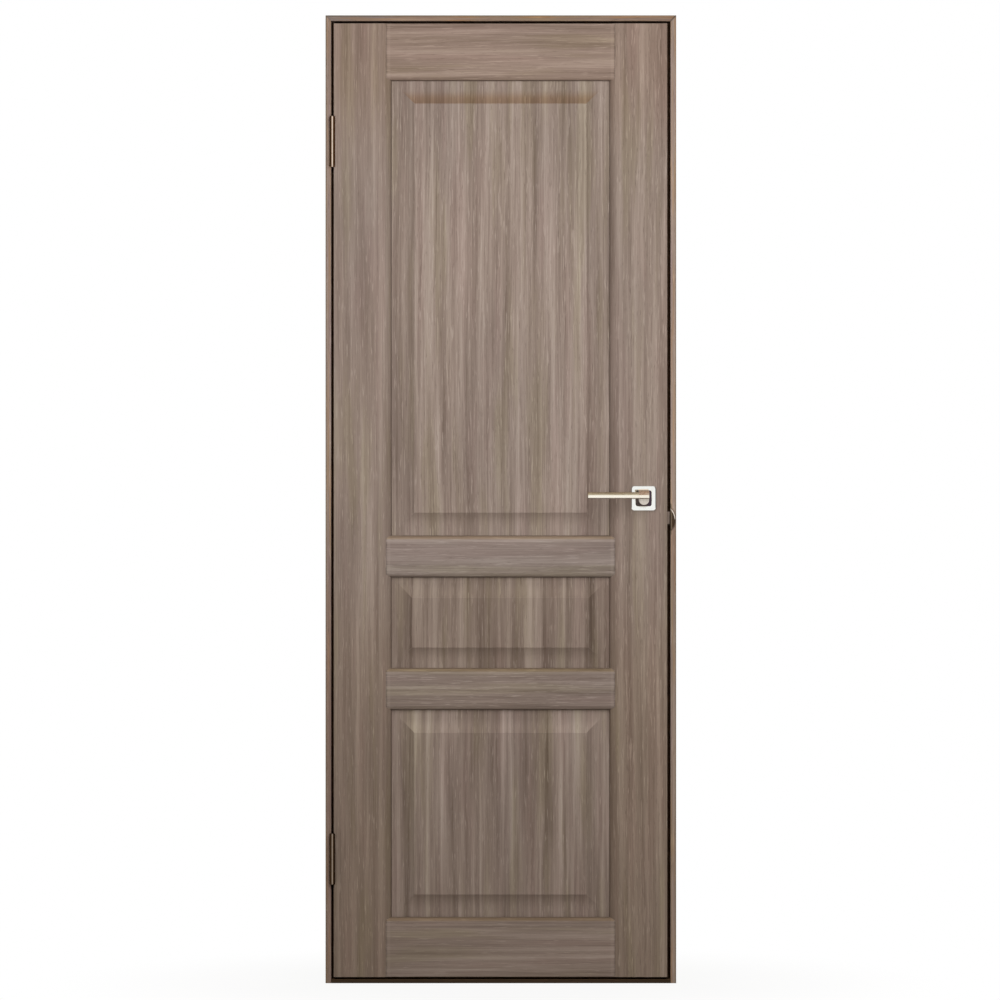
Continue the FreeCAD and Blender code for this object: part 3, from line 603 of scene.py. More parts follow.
def frame_marks(tree, place, colour, lying=False):
    """Olive or rusty outer arris of the frame, painted shade in the mitre seams, and streaks of orange and
    violet.
    """
    if lying:
        along, across, orange, violet = place["X"], place["Z"], ORANGE_HEAD, VIOLET_HEAD
    else:
        along, across, orange, violet = place["Z"], place["X"], ORANGE_STREAK, VIOLET_STREAK
    girth = tree.math("ADD", across, place["Y"])
    unrolled = tree.node("CombineXYZ", {"X": girth, "Y": along}).outputs[0]
    hue = tree.noise(unrolled, HUE_STREAK_SIZE)
    colour = tree.tinted(colour, tree.step(hue, 0.50, 0.64), 0.85, orange)
    colour = tree.tinted(colour, tree.step(hue, 0.48, 0.34), 0.85, violet)
    off = off_middle(tree, place, frame_middle_x)
    beside = tree.step(off, half_frame_width - 0.0030, half_frame_width - 0.0010)
    above = tree.step(place["Z"], frame_top - 0.0035, frame_top - 0.0010)
    arris = tree.math("MULTIPLY", tree.math("MAXIMUM", beside, above), facing_front(tree))
    lock_side = tree.step(place["X"], leaf_middle_x, leaf_high.x)
    rusty = tree.math("MULTIPLY", lock_side, tree.step(place["Z"], frame_top - 0.6, frame_top - 0.2))
    colour = tree.towards(colour, arris, 0.70, tree.mix(rusty, OLIVE_ARRIS, RUST_ARRIS))
    # Painted shade along the mitre seams.
    from_side = tree.math("SUBTRACT", half_frame_width, off)
    seam = tree.band(tree.math("ADD", from_side, place["Z"]), frame_top, SEAM_WIDTH)
    seam_share = tree.math("MULTIPLY_ADD", lock_side, 0.55, 0.30)
    return tree.towards(colour, seam, seam_share, bpy.context.scene.door_wood.joint)


def head_marks(tree, place, colour):
    """Marks of the frame on a level board, which is greyer at its hinge end."""
    grey = tree.step(place["X"], 0.17, 0.09)
    return frame_marks(tree, place, tree.tinted(colour, grey, 1.0, GREY_END), lying=True)


def jamb_marks(tree, place, colour, foot_share=BROWN_FOOT):
    """Marks of the frame, with the board browner towards its foot."""
    below = tree.step(place["Z"], 1.3, 0.5)
    return frame_marks(tree, place, tree.tinted(colour, below, 1.0, foot_share))


# Width and colour of the painted shadow round the strike's tongue.
STRIKE_SHADOW_WIDTH = 0.004
STRIKE_SHADOW_COLOUR = (0.115, 0.070, 0.045)
UNDER_STRIKE = (0.80, 0.74, 0.72)


def tongue_arc():
    """Middle and radius of the round end of the strike's tongue, as seen from the front."""
    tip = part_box("strike_plate")[1].x
    reach = tip - strike_jamb_face
    corners = NODES["strike_plate"].data.vertices
    heights = [corner.co.z for corner in corners if corner.co.y < leaf_low.y - reach / 5.0]
    low, high = min(heights), max(heights)
    radius = ((high - low) ** 2 / 4.0 + reach ** 2) / (2.0 * reach)
    return tip - radius, (high + low) / 2.0, radius


def arc_distance(tree, place):
    """Distance from the middle of the round end of the strike's tongue, its radius and the rise."""
    middle_x, middle_z, radius = tongue_arc()
    across = tree.math("SUBTRACT", place["X"], middle_x)
    rise = tree.math("SUBTRACT", place["Z"], middle_z)
    square = tree.math("MULTIPLY_ADD", across, across, tree.math("MULTIPLY", rise, rise))
    return tree.math("SQRT", square), radius, rise


def strike_jamb_marks(tree, place, colour):
    """Marks of the frame, a painted shadow round the strike's tongue and the wood duller under it."""
    reach, radius, rise = arc_distance(tree, place)
    colour = jamb_marks(tree, place, colour, DULL_FOOT)
    under = tree.math("MULTIPLY", tree.step(rise, -0.22, -0.04), tree.step(rise, 0.0, -0.03))
    colour = tree.tinted(colour, under, 1.0, UNDER_STRIKE)
    # Painted shadow of the tongue on the front of the jamb.
    near = tree.step(reach, radius + STRIKE_SHADOW_WIDTH, radius + STRIKE_SHADOW_WIDTH * 0.3)
    return tree.towards(colour, tree.math("MULTIPLY", near, facing_front(tree)), 0.60, STRIKE_SHADOW_COLOUR)


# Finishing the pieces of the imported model

class DoorStep:
    """Shared by all steps of the door."""
    bl_options = {"REGISTER", "UNDO"}

    @classmethod
    def poll(cls, context):
        return context.mode == "OBJECT"


class DOOR_OT_node_groups(DoorStep, bpy.types.Operator):
    """Build the shader node groups that the materials share"""
    bl_idname = "door.node_groups"
    bl_label = "Shared Patterns"

    def execute(self, context):
        build_grain_group()
        build_drift_group()
        build_edge_group()
        build_brush_group()
        return {"FINISHED"}


STILE_FIGURE = {"Bands": 0.75, "Streaks": 0.50, "Fibres": 0.55, "Pores": 0.6}
RAIL_FIGURE = {"Bands": 0.70, "Streaks": 0.50, "Fibres": 0.6, "Pores": 0.5}
PANEL_FIGURE = {"Bands": 1.75, "Streaks": 0.50, "Fibres": 0.62, "Pores": 0.6}
UPPER_PANEL_FIGURE = {"Bands": 0.80, "Streaks": 0.62, "Fibres": 0.62, "Pores": 0.6}
FRAME_FIGURE = {"Bands": 0.6, "Streaks": 0.5, "Fibres": 0.5, "Pores": 0.5}
THRESHOLD_FIGURE = {"Bands": 0.6, "Streaks": 0.8, "Fibres": 0.6, "Pores": 0.6}
THRESHOLD_SHIFT = (0.8, 0.2, 1.1)
LOCK_STILE_TONE = (0.96, 0.96, 0.95)
LOWER_RAIL_TONE = (1.10, 1.13, 1.16)
UPPER_RAIL_TONE = (1.00, 1.05, 1.10)
MIDDLE_PANEL_TONE = (0.88, 0.865, 0.84)
HINGE_JAMB_TONE = (1.10, 1.06, 1.05)
STRIKE_JAMB_TONE = (1.28, 1.26, 1.21)
HEAD_TONE = (0.92, 0.82, 0.70)
# Shares of the upper coves' colour: painted light on the lower and middle panels, painted shade with a browner
# tint on the upper panel.
STRONG_LIT_TOP = (1.16, 1.17, 1.16)
MILD_LIT_TOP = (1.12, 1.13, 1.12)
BROWN_SHADED_TOP = (0.90, 0.77, 0.63)


class DOOR_OT_stiles(DoorStep, bpy.types.Operator):
    """Veneer the two stiles with upright grain"""
    bl_idname = "door.stiles"
    bl_label = "Stiles"

    def execute(self, context):
        veneer("hinge_stile", UPRIGHT, (0.13, 0.0, 0.4), STILE_FIGURE, stile_marks)
        veneer("lock_stile", UPRIGHT, (0.71, 0.2, 1.7), STILE_FIGURE, stile_marks, LOCK_STILE_TONE)
        return {"FINISHED"}


class DOOR_OT_rails(DoorStep, bpy.types.Operator):
    """Veneer the four rails with level grain"""
    bl_idname = "door.rails"
    bl_label = "Rails"

    def execute(self, context):
        tones = {
            "bottom_rail": PLAIN_TONE, "lower_middle_rail": LOWER_RAIL_TONE,
            "upper_middle_rail": UPPER_RAIL_TONE, "top_rail": PLAIN_TONE,
        }
        for index, (name, tone) in enumerate(tones.items()):
            veneer(name, LEVEL, (0.37 * index, 0.1 * index, 1.3 * index), RAIL_FIGURE, rail_marks, tone)
        return {"FINISHED"}


class DOOR_OT_panels(DoorStep, bpy.types.Operator):
    """Veneer the three raised panels with strong upright grain"""
    bl_idname = "door.panels"
    bl_label = "Raised Panels"

    def execute(self, context):
        panels = (
            ("lower_panel", (0.0, 0.0, 3.1), PANEL_FIGURE, STRONG_LIT_TOP, 0.24, PLAIN_TONE),
            ("middle_panel", (0.29, 0.4, 5.7), PANEL_FIGURE, MILD_LIT_TOP, 0.28, MIDDLE_PANEL_TONE),
            ("upper_panel", (0.53, 0.8, 8.3), UPPER_PANEL_FIGURE, BROWN_SHADED_TOP, 0.10, PLAIN_TONE),
        )
        for name, shift, figure, top_share, side_strength, tone in panels:
            veneer(name, UPRIGHT, shift, figure, panel_marks(top_share, side_strength), tone)
        return {"FINISHED"}


class DOOR_OT_frame(DoorStep, bpy.types.Operator):
    """Veneer the boards and stops of the frame"""
    bl_idname = "door.frame"
    bl_label = "Frame"

    def execute(self, context):
        boards = (
            ("hinge_jamb", UPRIGHT, (0.91, 0.1, 0.2), jamb_marks, HINGE_JAMB_TONE),
            ("strike_jamb", UPRIGHT, (0.33, 0.6, 4.4), strike_jamb_marks, STRIKE_JAMB_TONE),
            ("frame_head", LEVEL, (0.6, 0.3, 2.5), head_marks, HEAD_TONE),
            ("hinge_stop", UPRIGHT, (0.44, 1.1, 0.9), frame_marks, PLAIN_TONE),
            ("strike_stop", UPRIGHT, (0.17, 0.9, 6.1), frame_marks, PLAIN_TONE),
            ("head_stop", LEVEL, (0.25, 0.7, 3.8), head_marks, PLAIN_TONE),
        )
        for name, grain, shift, marks, tone in boards:
            veneer(name, grain, shift, FRAME_FIGURE, marks, tone)
        return {"FINISHED"}


def stained(node_name, ground, lit_top_colour):
    """Stained hardwood with scuffed edges, and painted light on its upper face, which is paler."""
    def paint(tree, place, pattern, on_edge, colour):
        # Painted light: faces that look up turn to the paler colour.
        painted_light_top = tree.step(tree.direction()["Z"], 0.5, 0.9)
        scuffed = tree.group("edge_wear_and_highlight", {"Vector": pattern, "Radius": 0.002, "Amount": 0.6})["Mask"]
        return tree.mix(tree.math("MAXIMUM", scuffed, painted_light_top), colour, lit_top_colour)

    colours = (shaded(ground, 0.5), ground, shaded(ground, 2.0))
    wooden(node_name, "_stain", LEVEL, THRESHOLD_SHIFT, colours, THRESHOLD_FIGURE, paint, 0.12)


class DOOR_OT_threshold(DoorStep, bpy.types.Operator):
    """Stain the threshold and its stop dark brown, with painted light on their upper faces and the stop three
    times lighter as painted light in the gap under the leaf
    """
    bl_idname = "door.threshold"
    bl_label = "Threshold"

    def execute(self, context):
        ground = context.scene.door_wood.threshold
        painted_light_top = shaded(ground, 2.2)
        stained("threshold", ground, painted_light_top)
        # Painted light: the stop, seen through the gap under the leaf, is stained three times lighter.
        stained("threshold_stop", shaded(ground, 3.0), painted_light_top)
        return {"FINISHED"}


DUST_SIZE = (0.02, 0.02, 0.02)
RUBBER_SKIN_SIZE = (0.0012, 0.0012, 0.0012)


class DOOR_OT_seals(DoorStep, bpy.types.Operator):
    """Finish the seal strips in dark rubber"""
    bl_idname = "door.seals"
    bl_label = "Seals"

    def execute(self, context):
        material, tree, output = new_material("seal_rubber_finish")
        place = tree.coordinates()
        dust = tree.step(tree.noise(place, DUST_SIZE, 4.0, 0.6), 0.45, 0.75)
        skin = tree.noise(place, RUBBER_SKIN_SIZE, 3.0, 0.6)
        ground = context.scene.door_wood.seal
        dusty = [value * 3.0 + 0.01 for value in ground]
        principled(
            tree, output, Base_Color=tree.towards(ground, dust, 0.4, dusty),
            Roughness=tree.step(skin, 0.3, 0.7, 0.55, 0.8), Specular_IOR_Level=0.25,
            Normal=bump(tree, skin, 0.0001),
        )
        for name in ("hinge_seal", "strike_seal", "head_seal"):
            wear(name, material)
        return {"FINISHED"}


# Metals

ALONG_Z = (0.0, 0.0, 0.0)
ALONG_X = (0.0, math.pi / 2.0, 0.0)


def metal(
        name, colour, stain_share, roughness, lines=1.0, smudge=1.0, turn=ALONG_Z, tones=None,
        even_stain=True, edge=0.5, rim=None, **surface):
    """Metal with brush lines, smudges and brighter edges, partly wear and partly a painted highlight.

    The stain in the smudges and lines is a share of the colour, or of the colour with its tones at
    each place where it isn't even. Surface holds further inputs of the shader.
    """
    material, tree, output = new_material(name)
    place = tree.coordinates()
    pattern = tree.node("Mapping", {"Vector": place, "Rotation": turn}).outputs[0]
    base = tones(tree, colour) if tones else colour
    share = (stain_share, stain_share, stain_share)
    brushed = tree.group("brushed_metal", {
        "Vector": pattern, "Color": base, "Roughness": roughness, "Lines": lines, "Smudge": smudge,
        "Stain": toned(colour, share) if even_stain else tree.mix(1.0, base, share, "MULTIPLY"),
    })
    # Sharp edges turn towards the bright colour, partly as wear and partly as a painted highlight.
    worn_and_lit = tree.group("edge_wear_and_highlight", {"Vector": place, "Radius": 0.0008, "Amount": edge})["Mask"]
    bright = rim or [min(1.0, value * 1.35) for value in colour]
    principled(tree, output, **{
        "Metallic": 1.0, "Base_Color": tree.mix(worn_and_lit, brushed["Color"], bright),
        "Roughness": brushed["Roughness"], "Normal": bump(tree, brushed["Height"], 0.00003), **surface,
    })
    return material


# Colours of the painted dark reflection on the barrels' sides and of the lower hinge's duller front; the first
# also tints the hinges' glossy reflection.
DARK_BRONZE_REFLECTION = (0.190, 0.088, 0.030)
DULL_BRONZE = (0.34, 0.27, 0.21)
DULL_SIDE_REFLECTION = (0.045, 0.022, 0.008)


def barrel_tones(tree, colour):
    """Bronze with a painted reflection: a bright line down the front of the hinge's barrel and its sides
    painted dark, duller on the lower hinge.
    """
    side = tree.step(tree.math("ABSOLUTE", tree.direction()["X"]), 0.06, 0.26)
    dull = tree.step(tree.place()["Z"], 1.2, 0.8)
    front = tree.mix(dull, colour, DULL_BRONZE)
    return tree.towards(front, side, 0.96, tree.mix(dull, DARK_BRONZE_REFLECTION, DULL_SIDE_REFLECTION))


class DOOR_OT_hinges(DoorStep, bpy.types.Operator):
    """Finish the hinge plates and pins in plated bronze"""
    bl_idname = "door.hinges"
    bl_label = "Hinges"

    def execute(self, context):
        metals = context.scene.door_metal
        material = metal(
            "hinge_bronze", metals.hinge, 0.6, 0.2, 0.6, 0.5, tones=barrel_tones, even_stain=False,
            edge=0.12, rim=metals.rim, Specular_Tint=DARK_BRONZE_REFLECTION,
        )
        for level in ("upper", "lower"):
            for part in ("hinge_frame_plate", "hinge_leaf_plate", "hinge_pin"):
                wear(level + "_" + part, material)
        return {"FINISHED"}


# Width of the painted highlight on the tongue's rim, and the colour of the painted dark reflection on its
# flat.
RIM_HIGHLIGHT_WIDTH = 0.0022
DARK_CRESCENT_REFLECTION = (0.040, 0.019, 0.007)


def strike_tones(tree, colour):
    """Bronze with a painted reflection: lighter on its lip, nearly black on the flat of its tongue, and a
    painted highlight on the tongue's upper rim.
    """
    place = tree.place()
    reach, radius, rise = arc_distance(tree, place)
    bend = strike_jamb_face + 0.0024
    flat = tree.step(place["X"], bend, bend + 0.0015)
    ahead = tree.step(place["Y"], leaf_low.y, leaf_low.y - 0.001)
    # Painted light on the lip and a painted dark reflection on the flat of the tongue.
    lip = tree.mix(ahead, colour, shaded(colour, 1.7))
    flat_colour = tree.towards(lip, flat, ahead, DARK_CRESCENT_REFLECTION)
    # Painted highlight on the tongue's upper rim.
    rim = tree.step(reach, radius - RIM_HIGHLIGHT_WIDTH, radius - RIM_HIGHLIGHT_WIDTH * 0.6)
    upper = tree.math("MULTIPLY", tree.step(rise, -0.002, 0.004), ahead)
    return tree.towards(flat_colour, rim, upper, bpy.context.scene.door_metal.rim)


class DOOR_OT_latch(DoorStep, bpy.types.Operator):
    """Finish the latch, its faceplate and the strike"""
    bl_idname = "door.latch"
    bl_label = "Latch and Strike"

    def execute(self, context):
        metals = context.scene.door_metal
        bronze = metal(
            "strike_bronze", metals.strike, 0.4, 0.30, tones=strike_tones, edge=0.6, Metallic=0.3,
            Specular_IOR_Level=0.12,
        )
        softened("strike_plate", "strike", metals.edge_round, bronze)
        wear("latch_faceplate", bronze)
        wear("latch_bolt", metal("bolt_bronze", metals.bolt, 0.5, 0.34, edge=0.8, Metallic=0.6))
        plated = metal("zinc_plate", metals.zinc, 0.6, 0.35, 0.6)
        for name in ("latch_case", "spindle"):
            wear(name, plated)
        return {"FINISHED"}


def select_only(piece):
    """Makes one object the selected and active one."""
    bpy.ops.object.select_all(action="DESELECT")
    piece.select_set(True)
    bpy.context.view_layer.objects.active = piece


def apply_modifier(piece, name, kind, **settings):
    """Adds a modifier to a piece and applies it."""
    select_only(piece)
    modifier = piece.modifiers.new(name, kind)
    for setting, value in settings.items():
        setattr(modifier, setting, value)
    bpy.ops.object.modifier_apply(modifier=name)


def softened(node_name, piece_name, width, material):
    """Makes the piece that stands for a node, with its sharp edges rounded."""
    body = NODES[node_name]["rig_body"]
    piece = bpy.data.objects.new(piece_name, NODES[node_name].data.copy())
    bpy.context.scene.collection.objects.link(piece)
    select_only(piece)
    bpy.ops.mesh.customdata_custom_splitnormals_clear()
    bpy.ops.object.mode_set(mode="EDIT")
    bpy.ops.mesh.select_all(action="SELECT")
    bpy.ops.mesh.remove_doubles(threshold=0.00001)
    bpy.ops.mesh.dissolve_limited(angle_limit=math.radians(0.5))
    bpy.ops.object.mode_set(mode="OBJECT")
    apply_modifier(
        piece, "rounding", "BEVEL", width=width, segments=3, limit_method="ANGLE",
        angle_limit=math.radians(28.0), use_clamp_overlap=True,
    )
    select_only(piece)
    bpy.ops.object.shade_smooth_by_angle(angle=math.radians(32.0))
    piece.data.materials.clear()
    piece.data.materials.append(material)
    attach(piece, body)
    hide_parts(node_name)


VIOLET_SHADE = (0.075, 0.050, 0.075)


def violet_side(tree, colour):
    """Dark plate whose lock side leans to violet."""
    spindle_x = (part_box("spindle")[0].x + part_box("spindle")[1].x) / 2.0
    share = tree.step(tree.place()["X"], spindle_x, spindle_x + 0.015)
    return tree.mix(share, colour, VIOLET_SHADE)


class DOOR_OT_roses(DoorStep, bpy.types.Operator):
    """Polish the square roses and darken their windows"""
    bl_idname = "door.roses"
    bl_label = "Roses"

    def execute(self, context):
        metals = context.scene.door_metal
        polished = metal("polished_rose", metals.chrome, 0.8, 0.07, 0.15, 0.6)
        dark = metal("dark_rose_window", metals.inlay, 0.5, 0.28, 0.5, tones=violet_side)
        for side in ("front", "rear"):
            softened(side + "_rose_bezel", "rose_" + side, metals.edge_round, polished)
            wear(side + "_rose_inlay", dark)
        return {"FINISHED"}


# Painted shade under the grip, painted reflection on the hub's upper slope, and the hub below painted darker
# under the grip and lighter at its foot.
SHADE_BELOW = (0.17, 0.125, 0.095)
HUB_SLOPE_REFLECTION = (0.90, 0.66, 0.47)
HUB_SHADE = (0.36, 0.32, 0.28)
HUB_FOOT = (0.54, 0.48, 0.43)
SLOPE_START = 0.25
SLOPE_FULL = 0.65


def lever_tones(tree, colour):
    """A tan painted reflection on the slope above and painted shade on the slope below the lever's pale face.
    """
    rise = tree.direction()["Z"]
    above = tree.step(rise, SLOPE_START, SLOPE_FULL)
    below = tree.step(rise, -SLOPE_START, -SLOPE_FULL)
    # Painted reflection on the slope above and painted shade on the slope below.
    upper = tree.towards(colour, above, 0.9, bpy.context.scene.door_metal.nickel_top)
    return tree.towards(upper, below, 0.85, SHADE_BELOW)


def neck_tones(tree, colour):
    """Pale strip in line with the lever's face, a painted tan reflection on the slope above it, and a greyer
    hub below with a painted shadow of the grip, painted darker under the grip and lighter at its foot.
    """
    grip_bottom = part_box("front_lever_grip")[0].z
    height = tree.place()["Z"]
    hub = tree.step(height, grip_bottom + 0.0008, grip_bottom)
    # Painted shadow of the grip along its lower edge.
    below = tree.band(height, grip_bottom + 0.0006, 0.0016)
    upper = tree.mix(tree.step(tree.direction()["Z"], SLOPE_START, SLOPE_FULL), colour, HUB_SLOPE_REFLECTION)
    # Painted shade under the grip, lighter towards the hub's foot.
    lower = tree.mix(tree.step(height, grip_bottom - 0.002, grip_bottom - 0.008), HUB_SHADE, HUB_FOOT)
    return tree.mix(below, tree.mix(hub, upper, lower), SHADE_BELOW)


class DOOR_OT_levers(DoorStep, bpy.types.Operator):
    """Finish the levers in satin nickel with a painted reflection and painted shade on their slopes"""
    bl_idname = "door.levers"
    bl_label = "Levers"

    def execute(self, context):
        metals = context.scene.door_metal
        satin = metal("satin_lever", metals.nickel, 0.90, 0.22, 1.0, 0.5, turn=ALONG_X, tones=lever_tones)
        neck = metal("satin_neck", metals.nickel, 0.88, 0.24, 1.0, 0.6, tones=neck_tones)
        for side in ("front", "rear"):
            for part, material in (("grip", satin), ("neck", neck)):
                node_name, piece_name = "%s_lever_%s" % (side, part), "lever_%s_%s" % (part, side)
                softened(node_name, piece_name, metals.edge_round, material)
        return {"FINISHED"}


# Screws

HEAD_DEPTH = 0.0009


def select_faces(piece, below=False):
    """Selects only the faces that point up, or down, and goes into edit mode."""
    sign = -1.0 if below else 1.0
    bpy.ops.object.mode_set(mode="EDIT")
    bpy.ops.mesh.select_all(action="DESELECT")
    bpy.ops.object.mode_set(mode="OBJECT")
    for face in piece.data.polygons:
        face.select = sign * face.normal.z > 0.9
    bpy.ops.object.mode_set(mode="EDIT")


def screw_head(name, radius, depth):
    """Countersunk screw head with a cross recess, at the origin and facing +Z."""
    bpy.ops.object.select_all(action="DESELECT")
    bpy.ops.mesh.primitive_cylinder_add(vertices=32, radius=radius, depth=depth, location=(0, 0, -depth / 2.0))
    head = bpy.context.active_object
    head.name = name
    select_faces(head)
    bpy.ops.mesh.inset(thickness=radius * 0.12, depth=0.0)
    bpy.ops.transform.translate(value=(0.0, 0.0, radius * 0.05))
    bpy.ops.object.mode_set(mode="OBJECT")
    for turn in (0.0, math.pi / 2.0):
        cutter = recess_cutter(radius, turn)
        apply_modifier(head, "recess", "BOOLEAN", operation="DIFFERENCE", solver="EXACT", object=cutter)
        bpy.data.objects.remove(cutter, do_unlink=True)
    select_only(head)
    bpy.ops.object.transform_apply()
    bpy.ops.object.shade_smooth_by_angle(angle=math.radians(30.0))
    return head


def recess_cutter(radius, turn):
    """Tapered bar that cuts two opposite arms of the cross recess."""
    bpy.ops.object.select_all(action="DESELECT")
    bpy.ops.mesh.primitive_cube_add(size=1.0, location=(0.0, 0.0, 0.0))
    bar = bpy.context.active_object
    bar.scale = (radius * 1.15, radius * 0.24, radius * 0.7)
    bar.rotation_euler.z = turn
    bpy.ops.object.transform_apply()
    select_faces(bar, below=True)
    bpy.ops.transform.resize(value=(0.55, 0.55, 1.0))
    bpy.ops.object.mode_set(mode="OBJECT")
    return bar


def place_screw(head, name, place, facing, turn, body):
    """Own copy of a screw head at a place, facing a direction along X."""
    piece = head.copy()
    piece.data = head.data.copy()
    piece.name = name
    bpy.context.scene.collection.objects.link(piece)
    piece.rotation_euler = (0.0, facing * math.pi / 2.0, 0.0)
    piece.location = place
    select_only(piece)
    bpy.ops.object.transform_apply()
    bpy.ops.object.mode_set(mode="EDIT")
    bpy.ops.mesh.select_all(action="SELECT")
    bpy.ops.transform.rotate(value=turn, orient_axis="X", center_override=place)
    bpy.ops.object.mode_set(mode="OBJECT")
    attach(piece, body)


def set_screws(kind, radius, colour, seed, spots):
    """Sets a turned screw of one kind at each spot, which gives its name, place, facing and body."""
    head = screw_head(kind, radius, HEAD_DEPTH)
    head.data.materials.append(metal(kind + "_bronze", colour, 0.3, 0.3, 0.5))
    turns = random.Random(seed)
    for name, place, facing, body in spots:
        place_screw(head, name, place, facing, turns.uniform(0.0, math.pi / 2.0), body)
    bpy.data.objects.remove(head, do_unlink=True)


# Shares of a hinge plate's depth at which its screws alternate
NEAR_ROW = 0.42
FAR_ROW = 0.68


class DOOR_OT_hinge_screws(DoorStep, bpy.types.Operator):
    """Set the countersunk screws into the hinge plates"""
    bl_idname = "door.hinge_screws"
    bl_label = "Hinge Screws"

    def execute(self, context):
        screws = context.scene.door_screws
        colour = context.scene.door_metal.hinge
        jamb_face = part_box("hinge_jamb")[1].x
        spots = []
        for level in ("upper", "lower"):
            for body, face, facing in (("frame", jamb_face, 1), ("leaf", leaf_low.x, -1)):
                low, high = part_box("%s_hinge_%s_plate" % (level, body))
                for index in range(screws.per_plate):
                    depth = leaf_low.y + (high.y - leaf_low.y) * (NEAR_ROW if index % 2 else FAR_ROW)
                    height = low.z + (high.z - low.z) * (index + 0.5) / screws.per_plate
                    name = "%s_hinge_%s_screw_%d" % (level, body, index + 1)
                    spots.append((name, (face + facing * screws.proud, depth, height), facing, body))
        set_screws("hinge_screw", screws.hinge_radius, colour, screws.seed, spots)
        return {"FINISHED"}


STRIKE_SCREW_INSET = 0.0075
FACEPLATE_SCREW_INSET = 0.009


class DOOR_OT_latch_screws(DoorStep, bpy.types.Operator):
    """Set the screws into the strike and the latch's faceplate"""
    bl_idname = "door.latch_screws"
    bl_label = "Latch Screws"

    def execute(self, context):
        screws = context.scene.door_screws
        plates = (
            ("strike_plate", "frame", strike_jamb_face, -1, STRIKE_SCREW_INSET),
            ("latch_faceplate", "leaf", leaf_high.x, 1, FACEPLATE_SCREW_INSET),
        )
        spots = []
        for node, body, face, facing, inset in plates:
            low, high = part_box(node)
            for end, height in (("lower", low.z + inset), ("upper", high.z - inset)):
                place = (face + facing * screws.proud, leaf_middle_y, height)
                spots.append(("%s_%s_screw" % (node, end), place, facing, body))
        colour = context.scene.door_metal.strike
        set_screws("latch_screw", screws.latch_radius, colour, screws.seed + 1, spots)
        return {"FINISHED"}


# Stage

PHOTO_SIDE = 1000.0
METRES_PER_PIXEL = 0.0020973
SENSOR = 0.036
LEAF_MIDDLE_PIXEL = 500.5
FLOOR_PIXEL = 983.2
VIEW_END = 100.0
FLOOR_SIDE = 14.0
FLOOR_DROP = 0.0005
FLOOR_COLOUR = (0.60, 0.56, 0.50)
WHITE = (1.0, 1.0, 1.0)
WARM_AIR = (1.0, 0.945, 0.87)
REAR_LAMP_PLACE = (1.7, 2.0, 2.5)
REAR_LAMP_TARGET_HEIGHT = 1.0
REAR_LAMP_SIZE = 1.2


def seen_directly(tree):
    """1 for rays from the camera, off glossy metal and through glass, and 0 for soft light."""
    path = tree.node("LightPath", {}).outputs
    both = tree.math("MAXIMUM", path["Is Camera Ray"], path["Is Glossy Ray"])
    return tree.math("MAXIMUM", both, path["Is Transmission Ray"])


def add_lamp(name, place, target, side, power):
    """Square soft lamp that faces a target."""
    data = bpy.data.lights.new(name, "AREA")
    data.shape = "SQUARE"
    data.size = side
    data.energy = power
    lamp = bpy.data.objects.new(name, data)
    bpy.context.scene.collection.objects.link(lamp)
    lamp.location = place
    lamp.rotation_euler = (Vector(target) - Vector(place)).to_track_quat("-Z", "Y").to_euler()
    lamp.visible_camera = False
    lamp.visible_glossy = False


def build_floor():
    """Pale floor that keeps the door's shadow and fades into the white room."""
    bpy.ops.object.select_all(action="DESELECT")
    bpy.ops.mesh.primitive_plane_add(size=FLOOR_SIDE, location=(leaf_middle_x, 0.0, -FLOOR_DROP))
    floor = bpy.context.active_object
    floor.name = "studio_floor"
    bpy.ops.object.transform_apply()
    material, tree, output = new_material("studio_floor_pale")
    to_middle = {"Vector": tree.coordinates(), "Location": (-leaf_middle_x, 0.0, 0.0)}
    centred = tree.node("Mapping", to_middle).outputs[0]
    reach = tree.node("VectorMath", {0: centred}, operation="LENGTH").outputs["Value"]
    share = tree.math("MULTIPLY", tree.step(reach, 0.3, 1.0, 0.92, 1.0), seen_directly(tree))
    lit = tree.node("BsdfDiffuse", {"Color": FLOOR_COLOUR}).outputs[0]
    glow = tree.node("Emission", {"Color": WHITE, "Strength": 1.0}).outputs[0]
    surface = tree.node("MixShader", {0: share, 1: lit, 2: glow}).outputs[0]
    tree.feed(output.inputs["Surface"], surface)
    floor.data.materials.append(material)


def build_air(strength):
    """White room: white where it is seen, soft as a light, and in metal dim beside and above."""
    world = bpy.data.worlds.new("studio_air")
    bpy.context.scene.world = world
    world.use_nodes = True
    world.node_tree.nodes.clear()
    tree = Shading(world.node_tree)
    path = tree.node("LightPath", {}).outputs
    direction = tree.parts(tree.coordinates("Generated"))
    ahead = tree.step(tree.math("ABSOLUTE", direction["Y"]), 0.45, 0.85, 0.14, 1.0)
    above = tree.step(direction["Z"], 0.3, 0.9, 0.0, 0.85)
    bright = tree.math("MAXIMUM", tree.math("MAXIMUM", ahead, above), path["Is Camera Ray"])
    soft = tree.node("Background", {"Color": WARM_AIR, "Strength": strength}).outputs[0]
    white = tree.node("Background", {"Color": WHITE, "Strength": bright}).outputs[0]
    mixed = tree.node("MixShader", {0: seen_directly(tree), 1: soft, 2: white}).outputs[0]
    tree.node("OutputWorld", {"Surface": mixed})


